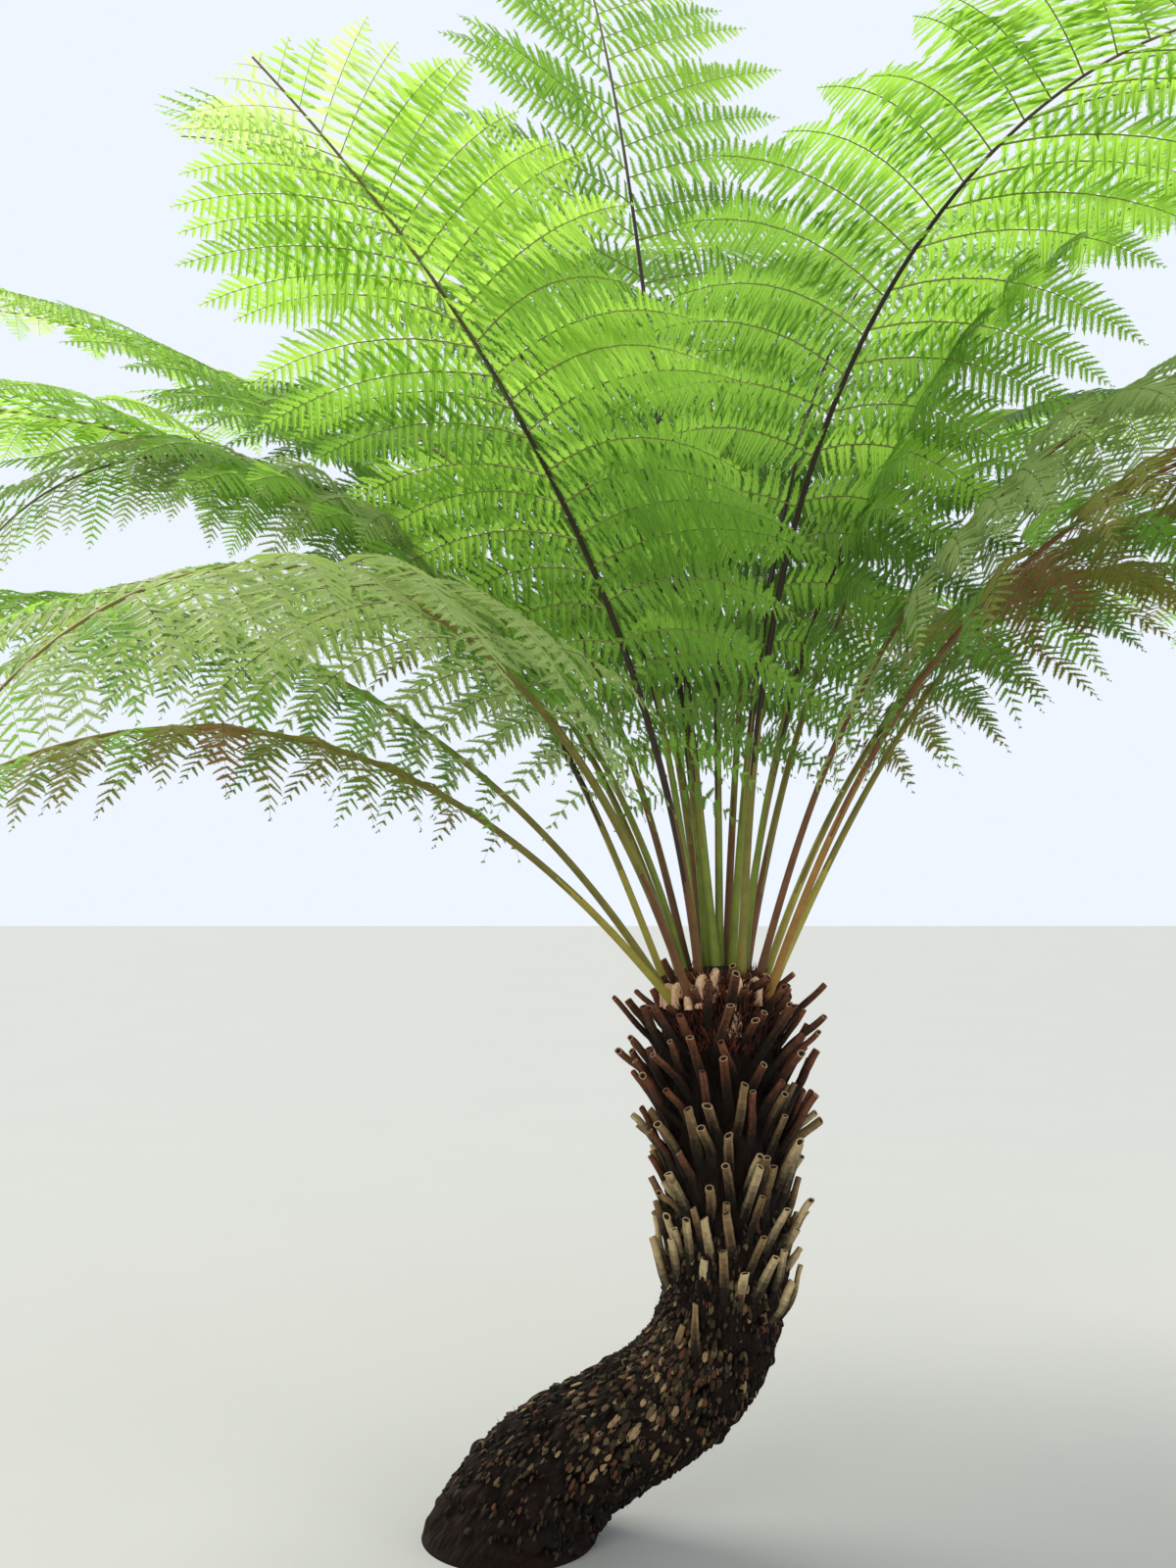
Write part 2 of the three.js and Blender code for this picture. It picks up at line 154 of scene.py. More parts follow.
def newPiece(name, slotName, points, faceLists, finishes, finishOf=None, nodes=(),
             smooth=True, uv=None):
    # faceLists holds arrays of faces, each with its own number of corners
    mesh = bpy.data.meshes.new(name)
    faceLists = [faces.reshape(-1, faces.shape[-1]) for faces in faceLists]
    corners = np.concatenate([faces.ravel() for faces in faceLists]).astype(np.int32)
    sizes = np.concatenate([np.full(len(faces), faces.shape[1]) for faces in faceLists])
    starts = np.concatenate([[0], np.cumsum(sizes)[:-1]]).astype(np.int32)
    mesh.vertices.add(points.size // 3)
    mesh.vertices.foreach_set("co", np.ascontiguousarray(points, np.float32).ravel())
    mesh.loops.add(len(corners))
    mesh.loops.foreach_set("vertex_index", corners)
    mesh.polygons.add(len(starts))
    mesh.polygons.foreach_set("loop_start", starts)
    if finishOf is not None:
        mesh.polygons.foreach_set("material_index", np.ascontiguousarray(finishOf, np.int32))
    mesh.polygons.foreach_set("use_smooth", np.full(len(starts), smooth))
    if uv is not None:
        layer = mesh.uv_layers.new(name="surface")
        layer.data.foreach_set("uv", np.ascontiguousarray(uv, np.float32).ravel())
    mesh.update(calc_edges=True)
    mesh.validate()
    for finish in finishes:
        mesh.materials.append(finish)
    piece = bpy.data.objects.new(name, mesh)
    bpy.context.scene.collection.objects.link(piece)
    if slotName:
        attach(piece, "root")
    if nodes:
        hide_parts(*nodes)
    print("made", name, "with", int((sizes - 2).sum()), "triangles")
    return piece


def tubeFaces(tubes, stations, sides, flip=False, ends=()):
    # vertex = (tube * stations + station) * sides + side: quads between the rings of many equal
    # tubes, then one many-sided face on each ring of ends
    tube, station, side = np.indices((tubes, stations - 1, sides))
    ring = (tube * stations + station) * sides
    a, b = ring + side, ring + (side + 1) % sides
    faces = [np.stack([a, b, b + sides, a + sides], -1).reshape(-1, 4)]
    for end in ends:
        cap = (np.arange(tubes)[:, None] * stations + end) * sides + np.arange(sides)
        faces.append(cap[:, ::-1] if end == 0 else cap)
    return [each[:, ::-1] for each in faces] if flip else faces


# Finishes


def addNode(tree, kind, inputs, **settings):
    # a shader node with its settings, whose inputs are each linked to a socket or given a value
    node = tree.nodes.new("ShaderNode" + kind)
    for name, value in settings.items():
        setattr(node, name, value)
    for name, value in inputs.items():
        if isinstance(value, bpy.types.NodeSocket):
            tree.links.new(value, node.inputs[name])
        else:
            node.inputs[name].default_value = value
    return node


def mottleGroup():
    # two colours mixed by fractal noise: (noise - 0.5) contrast + 0.5, held between 0 and 1
    group = bpy.data.node_groups.new("mottle", "ShaderNodeTree")
    for name, way, kind, value in (
        ("Vector", "INPUT", "Vector", (0, 0, 0)), ("Light", "INPUT", "Color", (0.5, 0.5, 0.5, 1)),
        ("Dark", "INPUT", "Color", (0.1, 0.1, 0.1, 1)), ("Scale", "INPUT", "Float", 20.0),
        ("Contrast", "INPUT", "Float", 1.0),
        ("Color", "OUTPUT", "Color", (0, 0, 0, 1)), ("Mask", "OUTPUT", "Float", 0.0),
    ):
        socket = group.interface.new_socket(name=name, in_out=way, socket_type="NodeSocket" + kind)
        socket.default_value = value
    given = group.nodes.new("NodeGroupInput").outputs
    result = group.nodes.new("NodeGroupOutput").inputs
    noise = addNode(group, "TexNoise", {
        "Vector": given["Vector"], "Scale": given["Scale"], "Detail": 5.0, "Roughness": 0.62,
    })
    centred = addNode(group, "Math", {0: noise.outputs["Fac"], 1: 0.5}, operation="SUBTRACT")
    spread = addNode(group, "Math", {0: centred.outputs[0], 1: given["Contrast"], 2: 0.5},
                     operation="MULTIPLY_ADD", use_clamp=True)
    mix = addNode(group, "Mix", {0: spread.outputs[0], 6: given["Dark"], 7: given["Light"]},
                  data_type="RGBA")
    group.links.new(mix.outputs[2], result["Color"])
    group.links.new(spread.outputs[0], result["Mask"])
    return group


mottle = mottleGroup()

# how much a surface gleams: a smooth one, one rougher than the limit, and a leaf
gleam = {"smooth": 0.28, "rough": 0.18, "limit": 0.6, "leaf": 0.20}
reliefStrength = 0.7


def newFinish(name, light, dark, roughness, scale, contrast, bump=0, useUv=False, stretch=(1, 1, 1)):
    # a Principled surface with mottled colour, and the same mottle as a fine bump
    finish = bpy.data.materials.new(name)
    finish.use_nodes = True
    tree = finish.node_tree
    shader = tree.nodes["Principled BSDF"]
    shader.inputs["Roughness"].default_value = roughness
    level = gleam["smooth"] if roughness < gleam["limit"] else gleam["rough"]
    shader.inputs["Specular IOR Level"].default_value = level
    place = addNode(tree, "TexCoord", {}).outputs["UV" if useUv else "Object"]
    mapping = addNode(tree, "Mapping", {"Vector": place, "Scale": stretch})
    spots = addNode(tree, "Group", {
        "Vector": mapping.outputs["Vector"], "Light": (*light, 1), "Dark": (*dark, 1),
        "Scale": scale, "Contrast": contrast,
    }, node_tree=mottle)
    tree.links.new(spots.outputs["Color"], shader.inputs["Base Color"])
    if bump:
        relief = addNode(tree, "Bump", {
            "Strength": reliefStrength, "Distance": bump, "Height": spots.outputs["Mask"],
        })
        tree.links.new(relief.outputs["Normal"], shader.inputs["Normal"])
    return finish


def newFinishes(rows, scale, contrast, bump=0):
    # one finish for each row of name, light, dark and roughness
    return [newFinish(*row, scale, contrast, bump) for row in rows]


# Studio


def buildStudio():
    scene = bpy.context.scene
    world = bpy.data.worlds.new("studioSky")
    scene.world = world
    world.use_nodes = True
    background = world.node_tree.nodes["Background"]
    background.inputs["Color"].default_value = (*studio["sky"], 1)
    background.inputs["Strength"].default_value = studio["skyStrength"]

    half = studio["floorSize"] / 2
    points = np.array([[-half, -half, 0], [half, -half, 0], [half, half, 0], [-half, half, 0]])
    darker = tuple(0.96 * c for c in studio["floor"])
    ground = newFinish("paleFloor", studio["floor"], darker, 0.9, 1.5, 1.0)
    floor = newPiece("studioFloor", None, points, [np.array([[0, 1, 2, 3]])], [ground], smooth=False)

    for name, kind, place, aim, energy, size, colour in studio["lamps"]:
        lamp = bpy.data.lights.new(name, kind)
        lamp.energy = energy
        lamp.color = colour
        if kind == "SUN":
            lamp.angle = math.radians(size)
        else:
            lamp.shape = "DISK"
            lamp.size = size
        item = bpy.data.objects.new(name, lamp)
        item.location = place
        item.rotation_euler = (Vector(aim) - Vector(place)).to_track_quat("-Z", "Y").to_euler()
        scene.collection.objects.link(item)

    view = bpy.data.cameras.new("photoView")
    view.lens = studio["lens"]
    view.clip_end = studio["farthest"]
    camera = bpy.data.objects.new("photoView", view)
    camera.location = studio["eye"]
    camera.rotation_euler = (math.radians(90 + studio["pitch"]), 0, 0)
    scene.collection.objects.link(camera)
    scene.camera = camera
    scene.view_settings.view_transform = "Standard"
    print("studio ready")


# Trunk

trunkLook = {
    # x, z and radius of the middle line's stations, as in the part's source
    "stations": np.array([
        (-0.038, -0.120, 0.198), (0.012, 0.000, 0.184), (0.056, 0.090, 0.162), (0.124, 0.166, 0.144),
        (0.229, 0.230, 0.134), (0.337, 0.296, 0.131), (0.419, 0.376, 0.131), (0.465, 0.478, 0.130),
        (0.483, 0.600, 0.129), (0.481, 0.800, 0.128), (0.472, 1.020, 0.130), (0.470, 1.170, 0.124),
        (0.470, 1.240, 0.088),
    ]),
    "around": 270, "along": 300, "domeHeight": 0.024, "domeRows": 14,
    "outOfGround": 0.4, "fadeShare": 0.03,  # where all of it is out, and where its relief is full
    # height, then the waves' turns round the trunk, their turns along it and their number
    "fibres": (0.00132, (30, 110), (0, 30), 60),
    "strings": (0.0022, (24, 80), (0, 14), 40),
    "lumps": (0.0050, (2, 18), (4, 30), 36),
    "girth": 0.82, "run": 1.75,  # of the bark's UV, in metres
    # the bark's colours are near-black: partly the fibre's own dark brown, partly painted shade from
    # the crown above
    # light, dark, roughness, scale, contrast and bump, and how finely the pattern repeats
    "bark": ((0.0100, 0.0062, 0.0034), (0.0013, 0.0010, 0.0007), 0.95, 190.0, 3.0, 0.004),
    "grain": (1, 0.14, 1),
    # colour, scale, contrast and share of the rusty patches
    "rust": ((0.019, 0.0062, 0.0033), 16.0, 3.2, 0.45),
}


def barkFinish():
    # fine dark fibres along the trunk, with rusty patches between them; the bark's near-black is
    # partly its own dark fibre and partly painted shade from the crown
    rust, scale, contrast, share = trunkLook["rust"]
    finish = newFinish("fibrousBark", *trunkLook["bark"], True, trunkLook["grain"])
    tree = finish.node_tree
    colour = tree.nodes["Principled BSDF"].inputs["Base Color"]
    fine = colour.links[0].from_socket
    place = addNode(tree, "TexCoord", {}).outputs["Object"]
    patches = addNode(tree, "Group", {"Vector": place, "Scale": scale, "Contrast": contrast},
                      node_tree=mottle)
    amount = addNode(tree, "Math", {0: patches.outputs["Mask"], 1: share}, operation="MULTIPLY")
    blend = addNode(tree, "Mix", {0: amount.outputs[0], 6: fine, 7: (*rust, 1)}, data_type="RGBA")
    tree.links.new(blend.outputs[2], colour)
    return finish


def trunkMiddle(t):
    # centripetal Catmull-Rom through the stations: cubic Hermite with tangents from the chords
    stations = trunkLook["stations"]
    line = stations[:, :2]
    line = np.vstack([2 * line[0] - line[1], line, 2 * line[-1] - line[-2]])
    place = np.clip(t, 0, 1) * (len(stations) - 1)
    index = np.minimum(place.astype(int), len(stations) - 2)
    part = (place - index)[..., None]
    p0, p1, p2, p3 = (line[index + k] for k in range(4))
    chords = (p1 - p0, p2 - p1, p3 - p2)
    d0, d1, d2 = (np.sqrt(np.linalg.norm(chord, axis=-1, keepdims=True)) for chord in chords)
    m1 = ((p1 - p0) / d0 - (p2 - p0) / (d0 + d1) + (p2 - p1) / d1) * d1
    m2 = ((p2 - p1) / d1 - (p3 - p1) / (d1 + d2) + (p3 - p2) / d2) * d1
    c2 = -3 * p1 + 3 * p2 - 2 * m1 - m2
    c3 = 2 * p1 - 2 * p2 + m1 + m2
    flat = p1 + m1 * part + c2 * part ** 2 + c3 * part ** 3
    slope = m1 + 2 * c2 * part + 3 * c3 * part ** 2
    middle, axis = (np.stack([p[..., 0], 0 * p[..., 0], p[..., 1]], -1) for p in (flat, slope))
    return middle, unit(axis)


def trunkPlace(angle, t, stand=0.0):
    # middle + outward (radius + stand), with outward = front cos + side sin, at an angle round
    # the trunk and a share along it; outward and the trunk's axis come back too
    stations = trunkLook["stations"]
    middle, axis = trunkMiddle(t)
    side = np.broadcast_to(np.array([0.0, 1.0, 0.0]), axis.shape)
    outward = leant(np.cross(side, axis), side, angle)
    radius = np.interp(t * (len(stations) - 1), np.arange(len(stations)), stations[:, 2])
    return middle + outward * (radius + stand)[..., None], outward, axis


def shareAtHeight(z):
    # the share along the middle line at which it reaches a height
    t = np.linspace(0, 1, 600)
    return np.interp(z, trunkMiddle(t)[0][:, 2], t)


def buildTrunk():
    # a grid of angle and share: the trunk's surface moved outwards by three kinds of waves
    rng = np.random.default_rng(11)
    look = trunkLook
    cols, rows = look["around"], look["along"]
    angle = aroundOnce(cols)
    # each column starts where it comes out of the ground
    fine = np.linspace(0, look["outOfGround"], 400)
    height = trunkPlace(angle[None, :], fine[:, None])[0][..., 2]
    first = np.argmax(height > 0, axis=0)
    below, above = height[first - 1, np.arange(cols)], height[first, np.arange(cols)]
    start = fine[first - 1] + (fine[1] - fine[0]) * (-below) / (above - below)
    v = np.linspace(0, 1, rows)[:, None]
    t = start[None, :] + (1 - start[None, :]) * v
    a = np.broadcast_to(angle[None, :], t.shape)
    fibres = look["fibres"][0] * waves(rng, a, t, *look["fibres"][1:])
    strings = look["strings"][0] * (1 - np.abs(waves(rng, a, t, *look["strings"][1:])))
    lumps = look["lumps"][0] * waves(rng, a, t, *look["lumps"][1:])
    relief = (fibres + strings + lumps) * np.clip(v / look["fadeShare"], 0, 1)
    body = trunkPlace(a, t, relief)[0]
    body[0, :, 2] = 0.0
    body[..., 2] = np.maximum(body[..., 2], 0.0)
    # rounded top: radius by the cosine and height by the sine
    q = np.linspace(0, 1, look["domeRows"] + 1)[1:-1, None] * np.pi / 2
    topX, topZ, topRadius = look["stations"][-1]
    reachOut = (topRadius + relief[-1][None, :]) * np.cos(q)
    dome = np.stack([topX + reachOut * np.cos(angle), reachOut * np.sin(angle),
                     topZ + look["domeHeight"] * np.sin(q) + 0 * angle[None, :]], -1)
    grid = np.concatenate([body, dome])
    allRows = len(grid)
    poles = [[topX, 0, topZ + look["domeHeight"]], [body[0, :, 0].mean(), 0, 0]]
    points = np.concatenate([grid.reshape(-1, 3), poles])
    quads = tubeFaces(1, allRows, cols)[0]
    here = np.arange(cols)
    after = (here + 1) % cols
    last = (allRows - 1) * cols
    crownFan = np.stack([last + here, last + after, np.full(cols, allRows * cols)], -1)
    footFan = np.stack([after, here, np.full(cols, allRows * cols + 1)], -1)
    # own UV in metres: round the trunk and along it, so that grain follows the bend
    row, col = np.divmod(quads[:, 0], cols)
    corners = [(0, 0), (1, 0), (1, 1), (0, 1)]
    uvQuads = np.stack([np.stack([col + right, row + over], -1) for right, over in corners], 1)
    uvQuads = uvQuads * np.array([look["girth"] / cols, look["run"] / allRows])
    uv = np.concatenate([uvQuads.reshape(-1, 2), np.zeros((2 * cols * 3, 2))])
    newPiece("trunkBark", "bark", points, [quads, crownFan, footFan], [barkFinish()],
             nodes=["trunk"], uv=uv)


# Stubs of cut stalks: a profile carried along a short curve, with a hollow end

stubLook = {
    "count": 204, "heights": (0.515, 1.236), "sides": 12, "stations": 13,
    "length": (0.110, 0.160),  # of the lowest and of the highest
    "topShort": (0.40, 0.90, 0.08),  # how much shorter the last are, from which share, over how much
    # where the highest are shorter still: heading, half width, first share, shortening
    "worn": [(230, 38, 0.86, 0.66), (350, 66, 0.82, 0.52), (160, 42, 0.80, 0.48)],
    # degrees off the trunk's axis at these shares up it
    "splayShares": (0, 0.45, 1), "footSplay": (18, 20, 56), "endSplay": (20, 40, 34),
    "play": {"height": 0.012, "angle": 0.10, "footSplay": 7, "endSplay": 17, "length": 0.28},
    "twist": 9, "sway": 0.55, "wave": 9,  # sideways turn, sideways part of the bend, and snaking
    "sink": 0.030, "inset": 0.006,  # how far it starts inside the bark, along itself and inwards
    "width": 0.0116, "widths": (0.80, 1.15), "end": 0.82, "flare": 0.40,
    "flat": 0.86, "groove": 0.16, "uneven": 0.035, "slant": 0.6,
    # share of the end's width and how far past it: the rim, the inner rim and the hollow's floor
    "rim": [(0.98, 0.002), (0.68, 0.001), (0.50, -0.016)],
    # two long old ones lower down
    "old": {
        "share": (0, 0), "height": (0.425, 0.350), "angle": (-1.90, -2.18), "footSplay": (24, 30),
        "endSplay": (8, 10), "twist": (24, 14), "length": (0.110, 0.105), "flare": (1.5, 0.7),
        "width": (0.62, 0.80),
    },
    "tones": 6,  # steps of a family, from the foot's tone to its own
    "climb": 8.0,  # how many of them a whole stub would climb
    "streaks": (0.35, 0.9), "grooveLag": 1.5,  # in stations: play by side and by stub, and the groove
    # the rusty family: the share up the trunk where it begins, over how much it takes over, its most
    "rusty": (0.30, 0.42, 0.97),
    # at the foot of the trunk, and the change up it: tan ones among the others, cut ends,
    # and stations that keep the foot's tone
    "tan": (0.95, -1.7), "cut": (0.25, 0.35), "dusk": (1.4, 2.6),
    # light and dark of the foot, of the three families, of cuts and of hollows
    "footTone": [(0.018, 0.011, 0.0065), (0.005, 0.0035, 0.0025)],
    "endTones": {
        "stubTan": [(0.56, 0.43, 0.23), (0.30, 0.21, 0.10)],
        "stubOlive": [(0.32, 0.205, 0.092), (0.135, 0.082, 0.036)],
        "stubRust": [(0.22, 0.078, 0.036), (0.085, 0.028, 0.014)],
    },
    "cutTone": ((0.42, 0.27, 0.15), (0.17, 0.095, 0.052)),
    "hollowTone": ((0.045, 0.028, 0.017), (0.011, 0.007, 0.005)),
    "roughness": 0.8, "pattern": (75.0, 1.5, 0.0015),  # scale, contrast and bump
}


def carriedTubes(start, direction, bendAxis, bend, length, stations, wave):
    # points and directions of short curves: each turns by bend about bendAxis over its length,
    # and by wave there and back again: angle = bend s + wave sin(2 pi s)
    share = np.linspace(0, 1, stations)
    angle = bend[:, None] * share + wave[:, None] * np.sin(2 * np.pi * share)
    headings = turned(direction[:, None, :], bendAxis[:, None, :], angle)
    step = (length / (stations - 1))[:, None, None]
    moves = (headings[:, :-1] + headings[:, 1:]) / 2 * step
    places = start[:, None, :] + np.concatenate([np.zeros_like(moves[:, :1]), np.cumsum(moves, 1)], 1)
    return places, headings


def stubRows(rng):
    # place, splay and length of each stub: a golden-angle spiral, then the old ones
    look = stubLook
    k = np.arange(look["count"])
    share = k / (look["count"] - 1)
    play = lambda name: jitter(rng, look["play"][name], len(k))
    along = lambda name: np.interp(share, look["splayShares"], look[name])
    short, shortFrom, shortOver = look["topShort"]
    rows = {
        "share": share,
        "height": between(look["heights"], share) + play("height"),
        "angle": k * goldenAngle + play("angle"),
        "footSplay": along("footSplay") + play("footSplay"),
        "endSplay": along("endSplay") + play("endSplay"),
        "twist": rng.normal(0, look["twist"], len(k)),
        "length": between(look["length"], share) * (1 + play("length"))
                  * (1 - short * np.clip((share - shortFrom) / shortOver, 0, 1)),
        "flare": np.full(len(k), look["flare"]),
        "width": rng.uniform(*look["widths"], len(k)),
    }
    for heading, reach, first, cut in look["worn"]:
        off = np.abs((np.degrees(rows["angle"]) - heading + 180) % 360 - 180)
        rows["length"] *= 1 - cut * ((off < reach) & (share > first))
    return {name: np.append(values, look["old"][name]) for name, values in rows.items()}


def stubFinishes():
    # foot + (end - foot) s^1.6 for each family and step, then cut ends and hollows
    look = stubLook
    foot = np.array(look["footTone"])
    rows = []
    for name, end in look["endTones"].items():
        for step in range(look["tones"]):
            light, dark = between((foot, np.array(end)), (step / (look["tones"] - 1)) ** 1.6)
            rows.append((f"{name}{step + 1}", light, dark))
    rows += [("stubCut", *look["cutTone"]), ("stubHollow", *look["hollowTone"])]
    return newFinishes([(*row, look["roughness"]) for row in rows], *look["pattern"])


def stubTones(rng, share):
    # the finish of every face: the tone climbs from the foot to the end in streaks, and lags
    # in the groove; rusty families stand high on the trunk, tan and olive ones below
    look = stubLook
    tones, stations, sides = look["tones"], look["stations"], look["sides"]
    count, total = len(share), stations + len(look["rim"])
    cutTone = len(look["endTones"]) * tones
    stubOf, stationOf, sideOf = np.indices((count, total - 1, sides)).reshape(3, -1)
    tan, olive, rust = range(3)
    first, over, most = look["rusty"]
    isRust = rng.random(count) < np.clip((share - first) / over, 0, most)
    isTan = rng.random(count) < look["tan"][0] + look["tan"][1] * share
    family = np.where(isRust, rust, np.where(isTan, tan, olive))
    family[-len(look["old"]["share"]):] = olive
    bySide, byStub = look["streaks"]
    streak = rng.normal(0, bySide, (count, sides)) + rng.normal(0, byStub, count)[:, None]
    late = streak[stubOf, sideOf] - look["grooveLag"] * np.isin(sideOf, (0, sides - 1))
    dusk = look["dusk"][0] + look["dusk"][1] * share[stubOf]
    band = (stationOf - dusk + late) * look["climb"] / (stations - 1)
    band = np.clip(band, 0, tones - 1).astype(int)
    isCut = rng.random(count) < look["cut"][0] + look["cut"][1] * share
    end = np.where(isCut, cutTone, family * tones + tones - 1)
    finishOf = np.where(stationOf >= stations - 1, end[stubOf], family[stubOf] * tones + band)
    finishOf = np.where(stationOf >= stations + 1, cutTone + 1, finishOf)
    return np.concatenate([finishOf, np.full(count, cutTone + 1)])


def buildStubs():
    # rings along each curve: place + inner width flat groove cos(phi) + across width sin(phi),
    # then the rim, the inner rim and the floor of the hollow
    rng = np.random.default_rng(29)
    look = stubLook
    rows = stubRows(rng)
    count, stations, sides = len(rows["share"]), look["stations"], look["sides"]
    foot, outward, axis = trunkPlace(rows["angle"], shareAtHeight(rows["height"]))
    footSplay, endSplay, twist = np.radians([rows["footSplay"], rows["endSplay"], rows["twist"]])
    direction = turned(leant(axis, outward, footSplay), outward, twist)
    across = turned(unit(np.cross(axis, outward)), outward, twist)
    start = foot - direction * look["sink"] - outward * look["inset"]
    bendAxis = unit(across + outward * rng.normal(0, look["sway"], count)[:, None])
    wave = np.radians(rng.normal(0, look["wave"], count))
    places, headings = carriedTubes(start, direction, bendAxis, endSplay - footSplay,
                                    rows["length"] + look["sink"], stations, wave)
    share = np.linspace(0, 1, stations)
    widths = look["end"] + rows["flare"][:, None] * (1 - share) ** 1.3
    widths = look["width"] * rows["width"][:, None] * widths
    widths = widths * (1 + look["uneven"] * rng.standard_normal((count, stations)))
    inner = np.cross(np.broadcast_to(across[:, None], headings.shape), headings)
    rimPlaces = np.stack([places[:, -1] + headings[:, -1] * past for _, past in look["rim"]], 1)
    rimWidths = np.stack([widths[:, -1] * part for part, _ in look["rim"]], 1)
    extra = len(look["rim"])
    places = np.concatenate([places, rimPlaces], 1)
    widths = np.concatenate([widths, rimWidths], 1)[:, :, None]
    inner, headings = (np.append(v, np.repeat(v[:, -1:], extra, 1), 1) for v in (inner, headings))
    total = stations + extra
    slant = np.zeros((count, total, 1))
    slant[:, stations - 1:] = jitter(rng, look["slant"], count)[:, None, None]
    phi = aroundOnce(sides)
    groove = 1 - look["groove"] * np.clip(np.cos(phi), 0, 1) ** 4
    aside = widths * np.sin(phi)
    rings = spreadFrom(places, (inner, widths * np.cos(phi) * look["flat"] * groove),
                       (across[:, None], aside), (headings, slant * aside))
    faces = tubeFaces(count, total, sides, True, [total - 1])
    newPiece("stalkStubs", "bark", rings, faces, stubFinishes(), stubTones(rng, rows["share"]))


# Chips on the lower trunk, the ends of long-gone stalks: short oval collars, turned upwards

chipLook = {
    "count": 3300, "heights": (0.02, 0.74), "sides": 9,
    "sizes": (1.1, 4.0),  # of a beta distribution: mostly small
    "half": (0.0028, 0.0070), "slender": (1.6, 2.8),  # half width, and length over width
    "stand": (0.0025, 0.010), "lean": (5, 35), "inset": 0.006, "middle": 0.0010,
    "wobble": (0.05, 0.06),  # the two and the three soft swells of the oval
    "rings": [1.30, 1.0, 0.55],  # width of the foot, the edge and the worn middle
    # many more: number, angles, heights, sizes, half widths
    "cluster": (300, (-2.80, -1.30), (0.20, 0.45), (0, 0.85), (0.0040, 0.0068)),
    # large pale ones: angle, height, half width
    "large": np.array([
        (-1.80, 0.290, 0.0100), (-1.72, 0.262, 0.0085), (-1.62, 0.318, 0.0075),
        (-1.48, 0.330, 0.0070), (0.60, 0.330, 0.0085), (2.10, 0.260, 0.0090),
    ]),
    "bare": (0.022, 0.35, 3.2),  # lowest height, share kept there, and its growth by metre
    "upturn": 0.8, "stray": 0.25,  # how far they turn from the trunk's axis upwards, and at random
    "edgeShare": 0.7, "darkShare": 0.10,  # of faces round a foot, and of worn middles
    "limits": [-0.10, 0.07, 0.19, 0.58],  # of the tint, at which the first four finishes end
    # name, light, dark, roughness
    "finishes": [
        ("chipPale", (0.32, 0.215, 0.110), (0.13, 0.080, 0.038), 0.88),
        ("chipTan", (0.13, 0.088, 0.038), (0.045, 0.030, 0.014), 0.88),
        ("chipRust", (0.105, 0.042, 0.020), (0.036, 0.015, 0.009), 0.88),
        ("chipBrown", (0.050, 0.032, 0.017), (0.015, 0.010, 0.006), 0.88),
        ("chipDark", (0.013, 0.009, 0.0055), (0.004, 0.003, 0.002), 0.88),
        ("chipEdge", (0.007, 0.005, 0.003), (0.002, 0.0014, 0.001), 0.88),
    ],
    "pattern": (90.0, 1.6, 0.001),  # scale, contrast and bump
}


def chipPlaces(rng):
    # share and angle of each chip on a golden-angle spiral, its size from 0 to 1 and half width,
    # then those of the cluster and the large ones
    look = chipLook
    count, large = look["count"], look["large"]
    k = np.arange(count)
    t = between(shareAtHeight(np.array(look["heights"])), (k + 0.5) / count)
    t = t + jitter(rng, 0.004, count)
    angle = k * goldenAngle + jitter(rng, 0.2, count)
    size = rng.beta(*look["sizes"], count)
    half = between(look["half"], size)
    more, angles, heights, sizes, halves = look["cluster"]
    t = np.concatenate([t, shareAtHeight(rng.uniform(*heights, more)), shareAtHeight(large[:, 1])])
    angle = np.concatenate([angle, rng.uniform(*angles, more), large[:, 0]])
    size = np.concatenate([size, rng.uniform(*sizes, more), np.full(len(large), 3.0)])
    half = np.concatenate([half, rng.uniform(*halves, more), large[:, 2]])
    return t, angle, size, half


